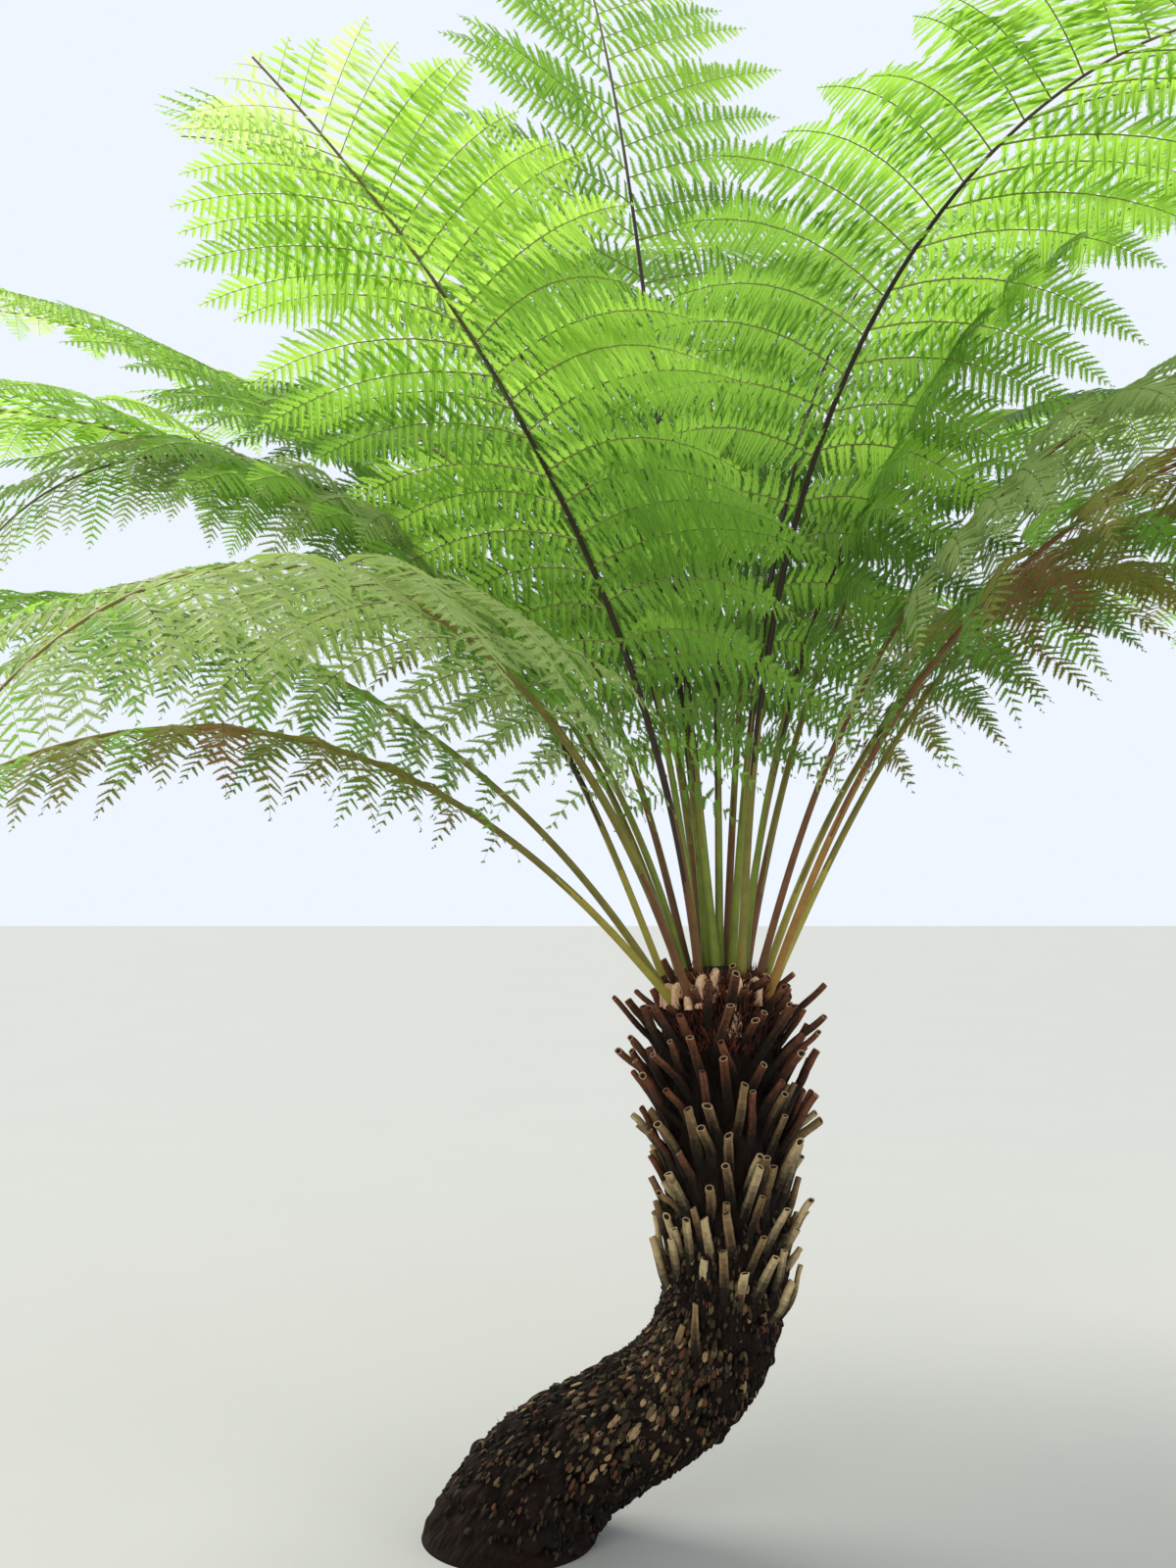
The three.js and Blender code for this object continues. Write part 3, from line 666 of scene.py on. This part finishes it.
def buildChips():
    # three rings for each chip: foot + facing stand + across half cos(phi) + tall length sin(phi),
    # both times 1 + a cos(2 phi + p) + b cos(3 phi + q)
    rng = np.random.default_rng(37)
    look = chipLook
    sides, rings = look["sides"], np.array(look["rings"])[:, None]
    t, angle, size, half = chipPlaces(rng)
    foot, outward, axis = trunkPlace(angle, t)
    # the oldest bark by the ground has worn smoother, so that fewer are left there
    lowest, fewest, growth = look["bare"]
    left = rng.random(len(t)) < np.clip(fewest + growth * foot[:, 2], 0, 1)
    keep = (foot[:, 2] > lowest) & left
    foot, outward, axis, size, half = (values[keep] for values in (foot, outward, axis, size, half))
    count = len(foot)
    upwards = axis + look["upturn"] * up + look["stray"] * rng.standard_normal((count, 3))
    tall = unit(upwards - outward * dot(upwards, outward))
    facing = leant(outward, tall, np.radians(rng.uniform(*look["lean"], count)))
    tall = unit(tall - facing * dot(tall, facing))
    across = np.cross(tall, facing)
    length = half * rng.uniform(*look["slender"], count)
    stand = rng.uniform(*look["stand"], count)
    stands = np.stack([np.full(count, -look["inset"]), stand, stand + look["middle"]], 1)
    phi = aroundOnce(sides)
    turn = rng.uniform(0, 2 * np.pi, (2, count, 1, 1))
    wobbly = (1 + look["wobble"][0] * np.cos(2 * phi + turn[0])
              + look["wobble"][1] * np.cos(3 * phi + turn[1]))
    wide = half[:, None, None] * rings * np.cos(phi) * wobbly
    high = length[:, None, None] * rings * np.sin(phi) * wobbly
    centres = spreadFrom(foot, (facing, stands))
    points = spreadFrom(centres, (across[:, None], wide), (tall[:, None], high))
    faces = tubeFaces(count, len(rings), sides, True, [len(rings) - 1])
    chipOf, stationOf, _ = np.indices((count, len(rings) - 1, sides)).reshape(3, -1)
    # the larger ones kept their pale wood more often, and so did those higher up
    dark, edge = 4, 5
    tint = rng.random(count) - 0.42 * size + np.clip(0.5 - 2.5 * foot[:, 2], 0, 0.4)
    coat = np.searchsorted(look["limits"], tint, side="right")
    isEdge = (stationOf == 0) & (rng.random(len(chipOf)) < look["edgeShare"])
    middle = np.where(rng.random(count) < look["darkShare"], dark, coat)
    finishOf = np.concatenate([np.where(isEdge, edge, coat[chipOf]), middle])
    finishes = newFinishes(look["finishes"], *look["pattern"])
    newPiece("stalkChips", "bark", points, faces, finishes, finishOf)


# Scales of the crown and loose fibres of the mantle: narrow pointed blades that stand off the trunk

scaleLook = {
    # number, heights, lengths, half width, splays from the axis, headings, finishes dealt out
    "groups": [
        (2600, (1.080, 1.260), (0.016, 0.046), 0.0016, (10, 60), (0, 360), (1, 1, 2, 2)),
        (420, (1.205, 1.262), (0.010, 0.024), 0.0040, (0, 85), (0, 360), (0, 0, 0, 1)),
        (330, (1.196, 1.256), (0.010, 0.026), 0.0046, (0, 85), (206, 262), (0, 0, 4)),
        (90, (1.120, 1.165), (0.008, 0.020), 0.0042, (0, 85), (272, 286), (0, 4, 4)),
        (3600, (0.02, 1.10), (0.010, 0.028), 0.0009, (15, 75), (0, 360), (3, 3, 3, 2)),
    ],
    "twist": 0.5, "widths": (0.7, 1.5), "sink": 0.003,
    "clear": 0.004,  # height above the ground that all keep
    # name, light, dark, roughness
    "finishes": [
        ("scalePeach", (0.78, 0.45, 0.27), (0.44, 0.21, 0.115), 0.7),
        ("scaleRust", (0.17, 0.045, 0.022), (0.070, 0.020, 0.012), 0.7),
        ("scaleBrown", (0.075, 0.024, 0.014), (0.028, 0.011, 0.007), 0.8),
        ("mantleFibre", (0.036, 0.022, 0.013), (0.010, 0.007, 0.005), 0.9),
        ("scaleCream", (0.90, 0.70, 0.48), (0.62, 0.42, 0.26), 0.7),
    ],
    "pattern": (40.0, 1.5),  # scale and contrast
}


def buildScales():
    # five points for each blade: two at its foot, two at the middle, which bows outwards, and a tip
    rng = np.random.default_rng(41)
    look = scaleLook
    blade = np.array([[0, 1, 2], [0, 2, 3], [3, 2, 4]])
    pointList, faceList, finishList, offset = [], [], [], 0
    for count, heights, lengths, width, splays, headings, tones in look["groups"]:
        t = shareAtHeight(between(heights, rng.random(count)))
        foot, outward, axis = trunkPlace(np.radians(rng.uniform(*headings, count)), t)
        splay = np.radians(rng.uniform(*splays, count))
        twist = jitter(rng, look["twist"], count)
        across = unit(np.cross(axis, outward))
        direction = unit(leant(unit(leant(axis, across, twist)), outward, splay))
        flat = unit(np.cross(direction, outward))
        length = rng.uniform(*lengths, count)[:, None]
        foot = foot - direction * look["sink"]
        half = flat * width * rng.uniform(*look["widths"], count)[:, None]
        middle = foot + direction * 0.5 * length + outward * 0.06 * length
        tip = foot + direction * length - outward * 0.04 * length
        points = [foot - half, foot + half, middle + half * 0.8, middle - half * 0.8, tip]
        points = np.stack(points, 1)
        base = offset + np.arange(count)[:, None] * 5
        keep = np.tile(points[..., 2].min(1) > look["clear"], len(blade))
        tone = np.array(tones)[rng.integers(0, len(tones), count)]
        pointList.append(points.reshape(-1, 3))
        faceList.append(np.concatenate([base + face for face in blade])[keep])
        finishList.append(np.tile(tone, len(blade))[keep])
        offset += 5 * count
    points, faces = np.concatenate(pointList), np.concatenate(faceList)
    used, inverse = np.unique(faces, return_inverse=True)
    finishes = newFinishes(look["finishes"], *look["pattern"])
    newPiece("crownScales", "bark", points[used], [inverse.reshape(faces.shape)], finishes,
             np.concatenate(finishList), smooth=False)


# Young coiled fronds among the stalks: a tapering tube that winds inwards

coilLook = {
    # heading, distance from the crown's axis, height of the stem, radius of the coil
    "places": [
        (243, 0.121, 0.046, 0.022), (258, 0.100, 0.056, 0.017), (226, 0.112, 0.040, 0.017),
        (286, 0.108, 0.044, 0.019), (312, 0.112, 0.040, 0.018), (345, 0.108, 0.042, 0.018),
        (64, 0.112, 0.044, 0.020), (132, 0.110, 0.042, 0.019), (197, 0.134, 0.032, 0.014),
        (208, 0.137, 0.034, 0.013), (218, 0.134, 0.038, 0.014), (233, 0.130, 0.030, 0.012),
        (276, 0.128, 0.030, 0.013),
    ],
    "height": 1.225, "fall": 0.35,  # of the crown at its axis, and how fast it falls away
    "tube": 0.0084, "thick": (1.25, 1.0), "uneven": 0.06,  # half width, and times it along the stem
    "turns": 1.6, "lean": 0.10, "aside": 0.006,
    "close": 0.74, "thin": 0.55,  # shares of the coil's radius and the tube's width that are lost
    "stemStations": 12, "coilStations": 44, "sides": 10,
    # light, dark, roughness, scale, contrast and bump
    "felt": ((0.86, 0.58, 0.38), (0.46, 0.24, 0.13), 0.85, 130.0, 2.0, 0.002),
}


def buildCoils():
    # a stem that leans out by its height squared, then centre + radius (out cos + up sin),
    # with a radius that shrinks evenly as it turns
    rng = np.random.default_rng(43)
    look = coilLook
    sides = look["sides"]
    rise = np.linspace(0, 1, look["stemStations"], endpoint=False)
    wind = np.linspace(0, 1, look["coilStations"])
    turn = wind * look["turns"] * 2 * np.pi
    thick = np.linspace(*look["thick"], look["stemStations"])
    taper = np.concatenate([thick, 1 - look["thin"] * wind])
    phi = aroundOnce(sides)
    rings = []
    for heading, distance, stem, coil in look["places"]:
        out = np.array([math.cos(math.radians(heading)), math.sin(math.radians(heading)), 0.0])
        aside = np.cross(up, out)
        foot = np.array([crown["axisX"], 0, look["height"]]) + (out - up * look["fall"]) * distance
        path = foot + rise[:, None] * stem * up + out * (look["lean"] * stem * rise ** 2)[:, None]
        centre = foot + stem * up + out * (look["lean"] * stem) - out * coil
        spiral = centre + leant(out, up, turn) * (coil * (1 - look["close"] * wind))[:, None]
        spiral += aside * (look["aside"] * wind)[:, None]
        places = np.concatenate([path, spiral])
        along = unit(np.gradient(places, axis=0))
        aside = np.broadcast_to(aside, along.shape)
        half = 1 + look["uneven"] * rng.standard_normal(len(places))
        half = (look["tube"] * taper * half)[:, None]
        over = unit(np.cross(aside, along))
        rings.append(spreadFrom(places, (aside, half * np.cos(phi)), (over, half * np.sin(phi))))
    faces = tubeFaces(len(rings), len(places), sides, True, [len(places) - 1, 0])
    felt = newFinish("coilFelt", *look["felt"])
    newPiece("youngCoils", "frond_young", np.array(rings), faces, [felt])


# Fronds


def frondTable():
    # one column of values for each name, over all fronds
    rows = list(shownFronds)
    for k in range(backFronds["count"]):
        heading = between(backFronds["headings"], k / (backFronds["count"] - 1))
        rows.append((heading, *backTiers[k % len(backTiers)]))
    names = ["heading", "lift", "turn", "hold", "length", "ring", "spread", "sag", "sway",
             "stalk", "rib", "leaf"]
    table = {name: np.array([row[k] for row in rows]) for k, name in enumerate(names)}
    rings = np.array([crown["rings"][ring] for ring in table["ring"]]).T
    table["radius"], table["height"], table["bare"], table["taper"] = rings
    return table


fronds = frondTable()
frondCount = len(fronds["heading"])


def walkRibs():
    # the lift falls by turn * share ** hold, and the heading drifts by sway * share
    steps = crown["steps"]
    column = {name: values[:, None] for name, values in fronds.items()}
    share = np.arange(steps + 1)[None, :] / steps
    lift = np.radians(column["lift"] - column["turn"] * share ** column["hold"])
    yaw = np.radians(column["heading"] + column["sway"] * share)
    forward = np.stack([np.cos(yaw), np.sin(yaw), 0 * yaw], -1)
    across = np.stack([-np.sin(yaw), np.cos(yaw), 0 * yaw], -1)
    along = leant(forward, up, lift)
    heading = np.radians(fronds["heading"])
    foot = np.stack([crown["axisX"] + fronds["radius"] * np.cos(heading),
                     fronds["radius"] * np.sin(heading), fronds["height"]], -1)
    moves = np.cumsum(along[:, :-1], 1) * (fronds["length"] / steps)[:, None, None]
    points = foot[:, None] + np.concatenate([np.zeros((frondCount, 1, 3)), moves], 1)
    return {"point": points, "along": along, "across": across, "above": np.cross(along, across)}


walk = walkRibs()


def ribAt(which, share):
    # the rib's point and directions, interpolated between the steps of its walk
    place = np.clip(share, 0, 1) * crown["steps"]
    index = np.minimum(place.astype(int), crown["steps"] - 1)
    part = (place - index)[..., None]
    result = {}
    for name, values in walk.items():
        mixed = values[which, index] * (1 - part) + values[which, index + 1] * part
        result[name] = mixed if name == "point" else unit(mixed)
    return result


def ribHalf(which, share):
    # from the foot to the blade over the bare share, then from the blade to the tip
    foot, blade, tip = crown["half"]
    bare = fronds["bare"][which]
    below = between((foot, blade), share / bare)
    beyond = between((blade, tip), (share - bare) / (1 - bare))
    return np.where(share < bare, below, beyond)


ribLook = {
    "stations": 84, "sides": 10,
    "crowded": 1.15,  # power that crowds the stations towards the foot
    "thick": (1.06, 0.30),  # times the source's width at the foot, and how much less at the tip
    "swell": (0.35, 0.05),  # how much wider the very foot is, and over which share
    "channel": 0.22,
    "change": (0.10, 0.17),  # shares at which the stalk's tone gives way to the blade's
    "changePlay": (0.028, 0.006),  # by strip, and by face
    "shares": {"middle": 0.055, "dusk": 0.56, "olive": 0.70},  # how far past the change each begins
    # name, light, dark, roughness
    "finishes": {
        "green": ("stalkGreen", (0.235, 0.285, 0.034), (0.11, 0.135, 0.018), 0.50),
        "yellow": ("stalkYellow", (0.40, 0.345, 0.052), (0.20, 0.165, 0.028), 0.50),
        "olive": ("stalkOlive", (0.215, 0.185, 0.030), (0.11, 0.090, 0.017), 0.50),
        "red": ("stalkRed", (0.19, 0.082, 0.026), (0.080, 0.034, 0.014), 0.48),
        "orange": ("stalkOrange", (0.36, 0.185, 0.034), (0.18, 0.088, 0.019), 0.50),
        "dark": ("ribDark", (0.042, 0.027, 0.014), (0.016, 0.011, 0.007), 0.45),
        "dusk": ("ribDusk", (0.105, 0.095, 0.028), (0.050, 0.044, 0.016), 0.45),
    },
    "pattern": (22.0, 1.5, 0.0006),  # scale, contrast and bump
}


def ribTones(rng, share):
    # each strip of the stalk changes to the blade's tone at a place of its own,
    # and a dark rib turns dusky and then olive towards its tip
    look = ribLook
    tone = {name: k for k, name in enumerate(look["finishes"])}
    stalk, blade = (np.array([tone[name] for name in fronds[part]]) for part in ("stalk", "rib"))
    size = frondCount, look["stations"] - 1, look["sides"]
    frondOf, stationOf, sideOf = np.indices(size).reshape(3, -1)
    change = rng.uniform(*look["change"], frondCount)[:, None]
    change = change + rng.normal(0, look["changePlay"][0], (frondCount, look["sides"]))
    here = share[stationOf] + jitter(rng, look["changePlay"][1], len(frondOf))
    past = here - change[frondOf, sideOf]
    dark, dusk, olive, red = (tone[name] for name in ("dark", "dusk", "olive", "red"))
    towards = np.where(stalk == red, red, olive)
    middle = np.where((blade == dark) & (stalk != dark), towards, blade)
    finishOf = np.where(past < look["shares"]["middle"], middle[frondOf], blade[frondOf])
    finishOf = np.where(past < 0, stalk[frondOf], finishOf)
    finishOf = np.where((past > look["shares"]["dusk"]) & (finishOf == dark), dusk, finishOf)
    finishOf = np.where((past > look["shares"]["olive"]) & (finishOf == dusk), olive, finishOf)
    return np.concatenate([finishOf, np.where(blade == dark, olive, blade), stalk])


def buildRibs():
    # a round tube with a shallow channel along its upper side, tapering to the tip:
    # point + across half cos(phi) + above half channel sin(phi)
    look = ribLook
    stations, sides = look["stations"], look["sides"]
    share = np.linspace(0, 1, stations) ** look["crowded"]
    which, s = np.repeat(np.arange(frondCount), stations), np.tile(share, frondCount)
    rib = ribAt(which, s)
    swell, swellOver = look["swell"]
    half = ribHalf(which, s) * (look["thick"][0] - look["thick"][1] * s ** 2)
    half = (half * (1 + swell * np.clip(1 - s / swellOver, 0, 1)))[:, None]
    phi = aroundOnce(sides)
    channel = 1 - look["channel"] * np.clip(np.sin(phi), 0, 1) ** 6
    rings = spreadFrom(rib["point"], (rib["across"], half * np.cos(phi)),
                       (rib["above"], half * np.sin(phi) * channel))
    faces = tubeFaces(frondCount, stations, sides, False, [stations - 1, 0])
    finishes = newFinishes(look["finishes"].values(), *look["pattern"])
    finishOf = ribTones(np.random.default_rng(53), share)
    newPiece("frondRibs", "frond_green", rings, faces, finishes, finishOf)


# Side ribs, in pairs along each blade

sideRibLook = {
    "pairs": 25, "stagger": 0.10, "shortest": 0.03,
    "play": {"place": 0.12, "length": (0.94, 1.0), "angle": 3, "sag": (0.85, 1.15)},
    "lift": 0.14,  # how far a side rib rises before it sags
    "stations": 9, "sides": 4, "half": (0.0021, 0.0005),
    "coats": {"glow": 0, "bright": 0, "deep": 0, "grey": 1, "old": 2},
    "finishes": [
        ("sideRibGreen", (0.24, 0.27, 0.06), (0.13, 0.14, 0.035), 0.45),
        ("sideRibOlive", (0.22, 0.20, 0.07), (0.12, 0.10, 0.04), 0.45),
        ("sideRibBrown", (0.22, 0.12, 0.05), (0.11, 0.06, 0.03), 0.45),
    ],
    "pattern": (30.0, 1.3),  # scale and contrast
}


def sideRibs():
    # one row for each side rib, by the rule of the part's source with a little play:
    # v = p (1 + q) - q p^2, length = reach opening (1 - v^taper)
    rng = np.random.default_rng(61)
    look = sideRibLook
    play = look["play"]
    f, j, s = np.indices((frondCount, look["pairs"], 2)).reshape(3, -1)
    s = 1 - 2 * s
    count = len(j)
    place = (j + 0.5 + jitter(rng, play["place"], count) + look["stagger"] * s) / look["pairs"]
    q = crown["crowding"]
    v = np.clip(place * (1 + q) - q * place ** 2, 0, 0.995)
    share = between((fronds["bare"][f], 1), v)
    opening = between((crown["lowest"], 1), np.sin(np.pi / 2 * np.minimum(1, v / crown["fullAt"])))
    length = crown["reach"] * fronds["spread"][f] * opening * (1 - v ** fronds["taper"][f])
    length = np.maximum(length * rng.uniform(*play["length"], count), look["shortest"])
    angle = np.radians(between(crown["angle"], v) + jitter(rng, play["angle"], count))
    rib = ribAt(f, share)
    lift = look["lift"] * (1 + 0.5 * rng.standard_normal(count))
    aside = rib["across"] * s[:, None]
    sag = fronds["sag"][f] * between(crown["sag"], v) * rng.uniform(*play["sag"], count)
    return {
        "frond": f, "side": s, "v": v, "length": length, "along": rib["along"],
        "root": rib["point"] + aside * (ribHalf(f, share) * 0.6)[:, None],
        "direction": leant(rib["along"], aside, angle) + rib["above"] * lift[:, None],
        "sag": sag + look["lift"],
    }


def sprayAt(ribs, which, t):
    # a side rib's point: root + direction length t - up sag length t^2 / 2; with it come its
    # direction, its chord towards the frond's tip, and its upper side
    length, sag, side = (ribs[name][which][:, None] for name in ("length", "sag", "side"))
    t = t[:, None]
    root, direction, along = (ribs[name][which] for name in ("root", "direction", "along"))
    point = root + direction * length * t - up * 0.5 * sag * length * t ** 2
    heading = unit(direction - up * sag * t)
    chord = unit(along - heading * dot(along, heading))
    return point, heading, chord, np.cross(chord, heading) * side


def buildSideRibs(ribs):
    # thin square tubes: point + half (chord cos(phi) + above sin(phi))
    look = sideRibLook
    count, stations, sides = len(ribs["frond"]), look["stations"], look["sides"]
    which = np.repeat(np.arange(count), stations)
    t = np.tile(np.linspace(0, 0.985, stations), count)
    point, heading, chord, above = sprayAt(ribs, which, t)
    half = between(look["half"], t) * np.clip(ribs["length"][which] / crown["reach"], 0.3, 1)
    half = half[:, None]
    phi = aroundOnce(sides, 0.5)
    rings = spreadFrom(point, (chord, half * np.cos(phi)), (above, half * np.sin(phi)))
    quads = tubeFaces(count, stations, sides)[0].reshape(count, -1, 4)
    left = ribs["side"] > 0
    quads[left] = quads[left][:, :, ::-1]
    coat = np.array([look["coats"][name] for name in fronds["leaf"]])[ribs["frond"]]
    finishOf = np.repeat(coat, (stations - 1) * sides)
    finishes = newFinishes(look["finishes"], *look["pattern"])
    newPiece("sideRibs", "frond_green", rings, [quads], finishes, finishOf)


# Leaflets, in rows on both sides of each side rib

leafletLook = {
    "pieces": 5, "spacing": 0.0205,
    "crowded": 0.22,  # how much closer they stand towards the tip
    "longest": 0.094, "wide": 0.0116,  # length and half width, over its teeth
    "teeth": 4, "edge": 0.76,  # number on an edge, and share of the width between them
    "shortFoot": (0.66, 0.22),  # share of the length at the foot of a side rib, and where it ends
    "slant": (74.0, 34.0),  # degrees between leaflet and side rib, and how many fewer at its tip
    "play": {"place": 0.10, "length": (0.90, 1.06), "slant": 4, "roll": 0.16},
    "stagger": 0.10, "droop": (-0.10, 0.10), "hang": 0.12,
    # a frond's place among the five greens at its foot and at its tip,
    # then the shares of its sprays that are grey, olive and brown instead; the grey is a painted
    # reflection of the sky on the leaflets' upper faces
    # the greens by place are painted light and shade: darker at the foot for the shade of the crown's
    # middle, paler towards the tip for light coming through from behind
    "tones": {
        # the first family runs from a deep green at the foot to the palest green at the tip: a
        # painted glow of light coming through from behind
        "glow": (3.7, 0.0, 0, 0, 0), "bright": (3.9, 0.9, 0, 0, 0), "deep": (4.0, 1.9, 0, 0, 0),
        "grey": (3.9, 2.2, 0.80, 0, 0), "old": (3.9, 2.7, 0, 0.44, 0.07),
    },
    "tonePlay": 0.38,
    # name, face, light that comes through, its share: five greens, then the other three
    "finishes": [
        # the pale and lime greens dealt towards the tips carry painted light coming through from
        # behind
        ("leafPale", (0.48, 0.62, 0.21), (0.70, 0.93, 0.30), 0.54),
        ("leafLime", (0.29, 0.46, 0.070), (0.52, 0.84, 0.11), 0.52),
        ("leafFresh", (0.205, 0.38, 0.054), (0.41, 0.72, 0.085), 0.50),
        ("leafGreen", (0.140, 0.275, 0.042), (0.29, 0.55, 0.064), 0.48),
        ("leafDeep", (0.094, 0.188, 0.034), (0.19, 0.37, 0.048), 0.42),
        # this pale grey-green face is a painted reflection of the sky on the upper faces
        ("leafGreyPaintedSheen", (0.285, 0.375, 0.150), (0.42, 0.58, 0.135), 0.38),
        ("leafOlive", (0.165, 0.165, 0.036), (0.29, 0.29, 0.044), 0.40),
        ("leafBrown", (0.22, 0.125, 0.042), (0.32, 0.18, 0.048), 0.30),
    ],
}


def leafFinish(name, face, through, share):
    # a thin leaf: a waxy face, and light that comes through it in a yellower green
    finish = newFinish(name, face, tuple(0.72 * c for c in face), 0.5, 6.0, 1.2)
    tree = finish.node_tree
    shader = tree.nodes["Principled BSDF"]
    shader.inputs["Specular IOR Level"].default_value = gleam["leaf"]
    lit = addNode(tree, "BsdfTranslucent", {"Color": (*through, 1)})
    blend = addNode(tree, "MixShader", {0: share, 1: shader.outputs[0], 2: lit.outputs[0]})
    tree.links.new(blend.outputs[0], tree.nodes["Material Output"].inputs["Surface"])
    return finish


def leafletPattern():
    # a toothed leaflet in its own measure: x along it from 0 to 1, y across from -1 to 1, z up.
    # Each half is a long wedge beside the midrib, with a row of slanting teeth on its edge.
    teeth, edge = leafletLook["teeth"], leafletLook["edge"]
    points = [(0, 0, 0), (1, 0, -0.05)]
    faces = []
    for side in (1, -1):
        first = len(points)
        for k in range(teeth + 1):
            swell = edge * (1 - 0.66 * (k / teeth) ** 2.3)
            points.append((0.02 + 0.80 * k / teeth, side * swell, 0.12 * swell))
        for k in range(teeth):
            swell = 1 - 0.60 * ((k + 0.5) / teeth) ** 2.2
            points.append((0.08 + 0.80 * (k + 0.5) / teeth, side * swell, 0.12 * swell))
        last = first + teeth
        half = [[0, first, last], [0, last, 1]]
        half += [[first + k, last + 1 + k, first + k + 1] for k in range(teeth)]
        faces += [face[::-1] for face in half] if side > 0 else half
    return np.array(points, float), np.array(faces)


def sprayTones(rng, ribs):
    # foot + (tip - foot) v^1.2 with some play, or one of the other three by chance: the darker greens
    # at the foot are painted shade of the crown's middle, the paler ones at the tip painted light
    # coming through from behind
    look = leafletLook
    rows = np.array([look["tones"][name] for name in fronds["leaf"][ribs["frond"]]])
    foot, tip, *others = rows.T
    tone = between((foot, tip), ribs["v"] ** 1.2) + rng.normal(0, look["tonePlay"], len(foot))
    tone = np.clip(np.rint(tone), 0, 4).astype(int)
    chance = rng.random(len(foot))
    return np.select([chance < limit for limit in np.cumsum(others, 0)], [5, 6, 7], tone)


def buildLeaflets(ribs):
    # the pattern carried to its place: point + direction length x + width wide y + face z
    rng = np.random.default_rng(71)
    look = leafletLook
    play = look["play"]
    pattern, patternFaces = leafletPattern()
    x, y, z = pattern.T
    finishes = [leafFinish(*row) for row in look["finishes"]]
    tone = sprayTones(rng, ribs)
    perSide = np.maximum((ribs["length"] / look["spacing"]).astype(int), 2)
    for number, members in enumerate(np.array_split(np.arange(frondCount), look["pieces"])):
        chosen = np.flatnonzero(np.isin(ribs["frond"], members))
        which = np.repeat(np.repeat(chosen, perSide[chosen]), 2)
        rank = np.repeat(np.concatenate([np.arange(n) for n in perSide[chosen]]), 2)
        side = np.tile([1.0, -1.0], len(which) // 2)
        count = len(which)
        t = rank + 0.55 + look["stagger"] * side + jitter(rng, play["place"], count)
        t = t / perSide[which]
        t = t * (1 + look["crowded"] * (1 - t))
        point, heading, chord, above = sprayAt(ribs, which, t)
        # shorter at the foot of the side rib and towards its tip, and on short side ribs
        shortest, fullAt = look["shortFoot"]
        reach = between((shortest, 1), np.minimum(1, t / fullAt)) * (1 - t ** 3.4)
        size = look["longest"] * np.clip(ribs["length"][which] / crown["reach"], 0.16, 1) ** 0.72
        length = np.maximum(size * reach * rng.uniform(*play["length"], count), 0.006)
        wide = look["wide"] * (length / look["longest"]) ** 0.55
        slant = look["slant"][0] - look["slant"][1] * t ** 3 + jitter(rng, play["slant"], count)
        droop = rng.normal(*look["droop"], count)
        direction = leant(heading, chord * side[:, None], np.radians(slant))
        direction = unit(direction + above * droop[:, None] - up * look["hang"])
        width = unit(heading - direction * dot(heading, direction))
        hand = side * ribs["side"][which]
        face = np.cross(direction, width) * hand[:, None]
        width = leant(width, face, rng.normal(0, play["roll"], count))
        face = np.cross(direction, width) * hand[:, None]
        length, wide = length[:, None], wide[:, None]
        rise = np.where(x == 1, length, wide * 2) * z
        points = spreadFrom(point, (direction, length * x), (width, wide * y), (face, rise))
        faces = patternFaces[None] + (np.arange(count) * len(pattern))[:, None, None]
        faces[hand < 0] = faces[hand < 0][:, :, ::-1]
        finishOf = np.repeat(tone[which], len(patternFaces))
        nodes = [f"frond_{k + 1:02d}_{part}" for k in members for part in ("lower", "upper")]
        newPiece(f"leaflets{number + 1}", "frond_green", points, [faces], finishes, finishOf,
                 nodes, smooth=False)


buildStudio()
buildTrunk()
buildStubs()
buildChips()
buildScales()
buildCoils()
buildRibs()
ribs = sideRibs()
buildSideRibs(ribs)
buildLeaflets(ribs)
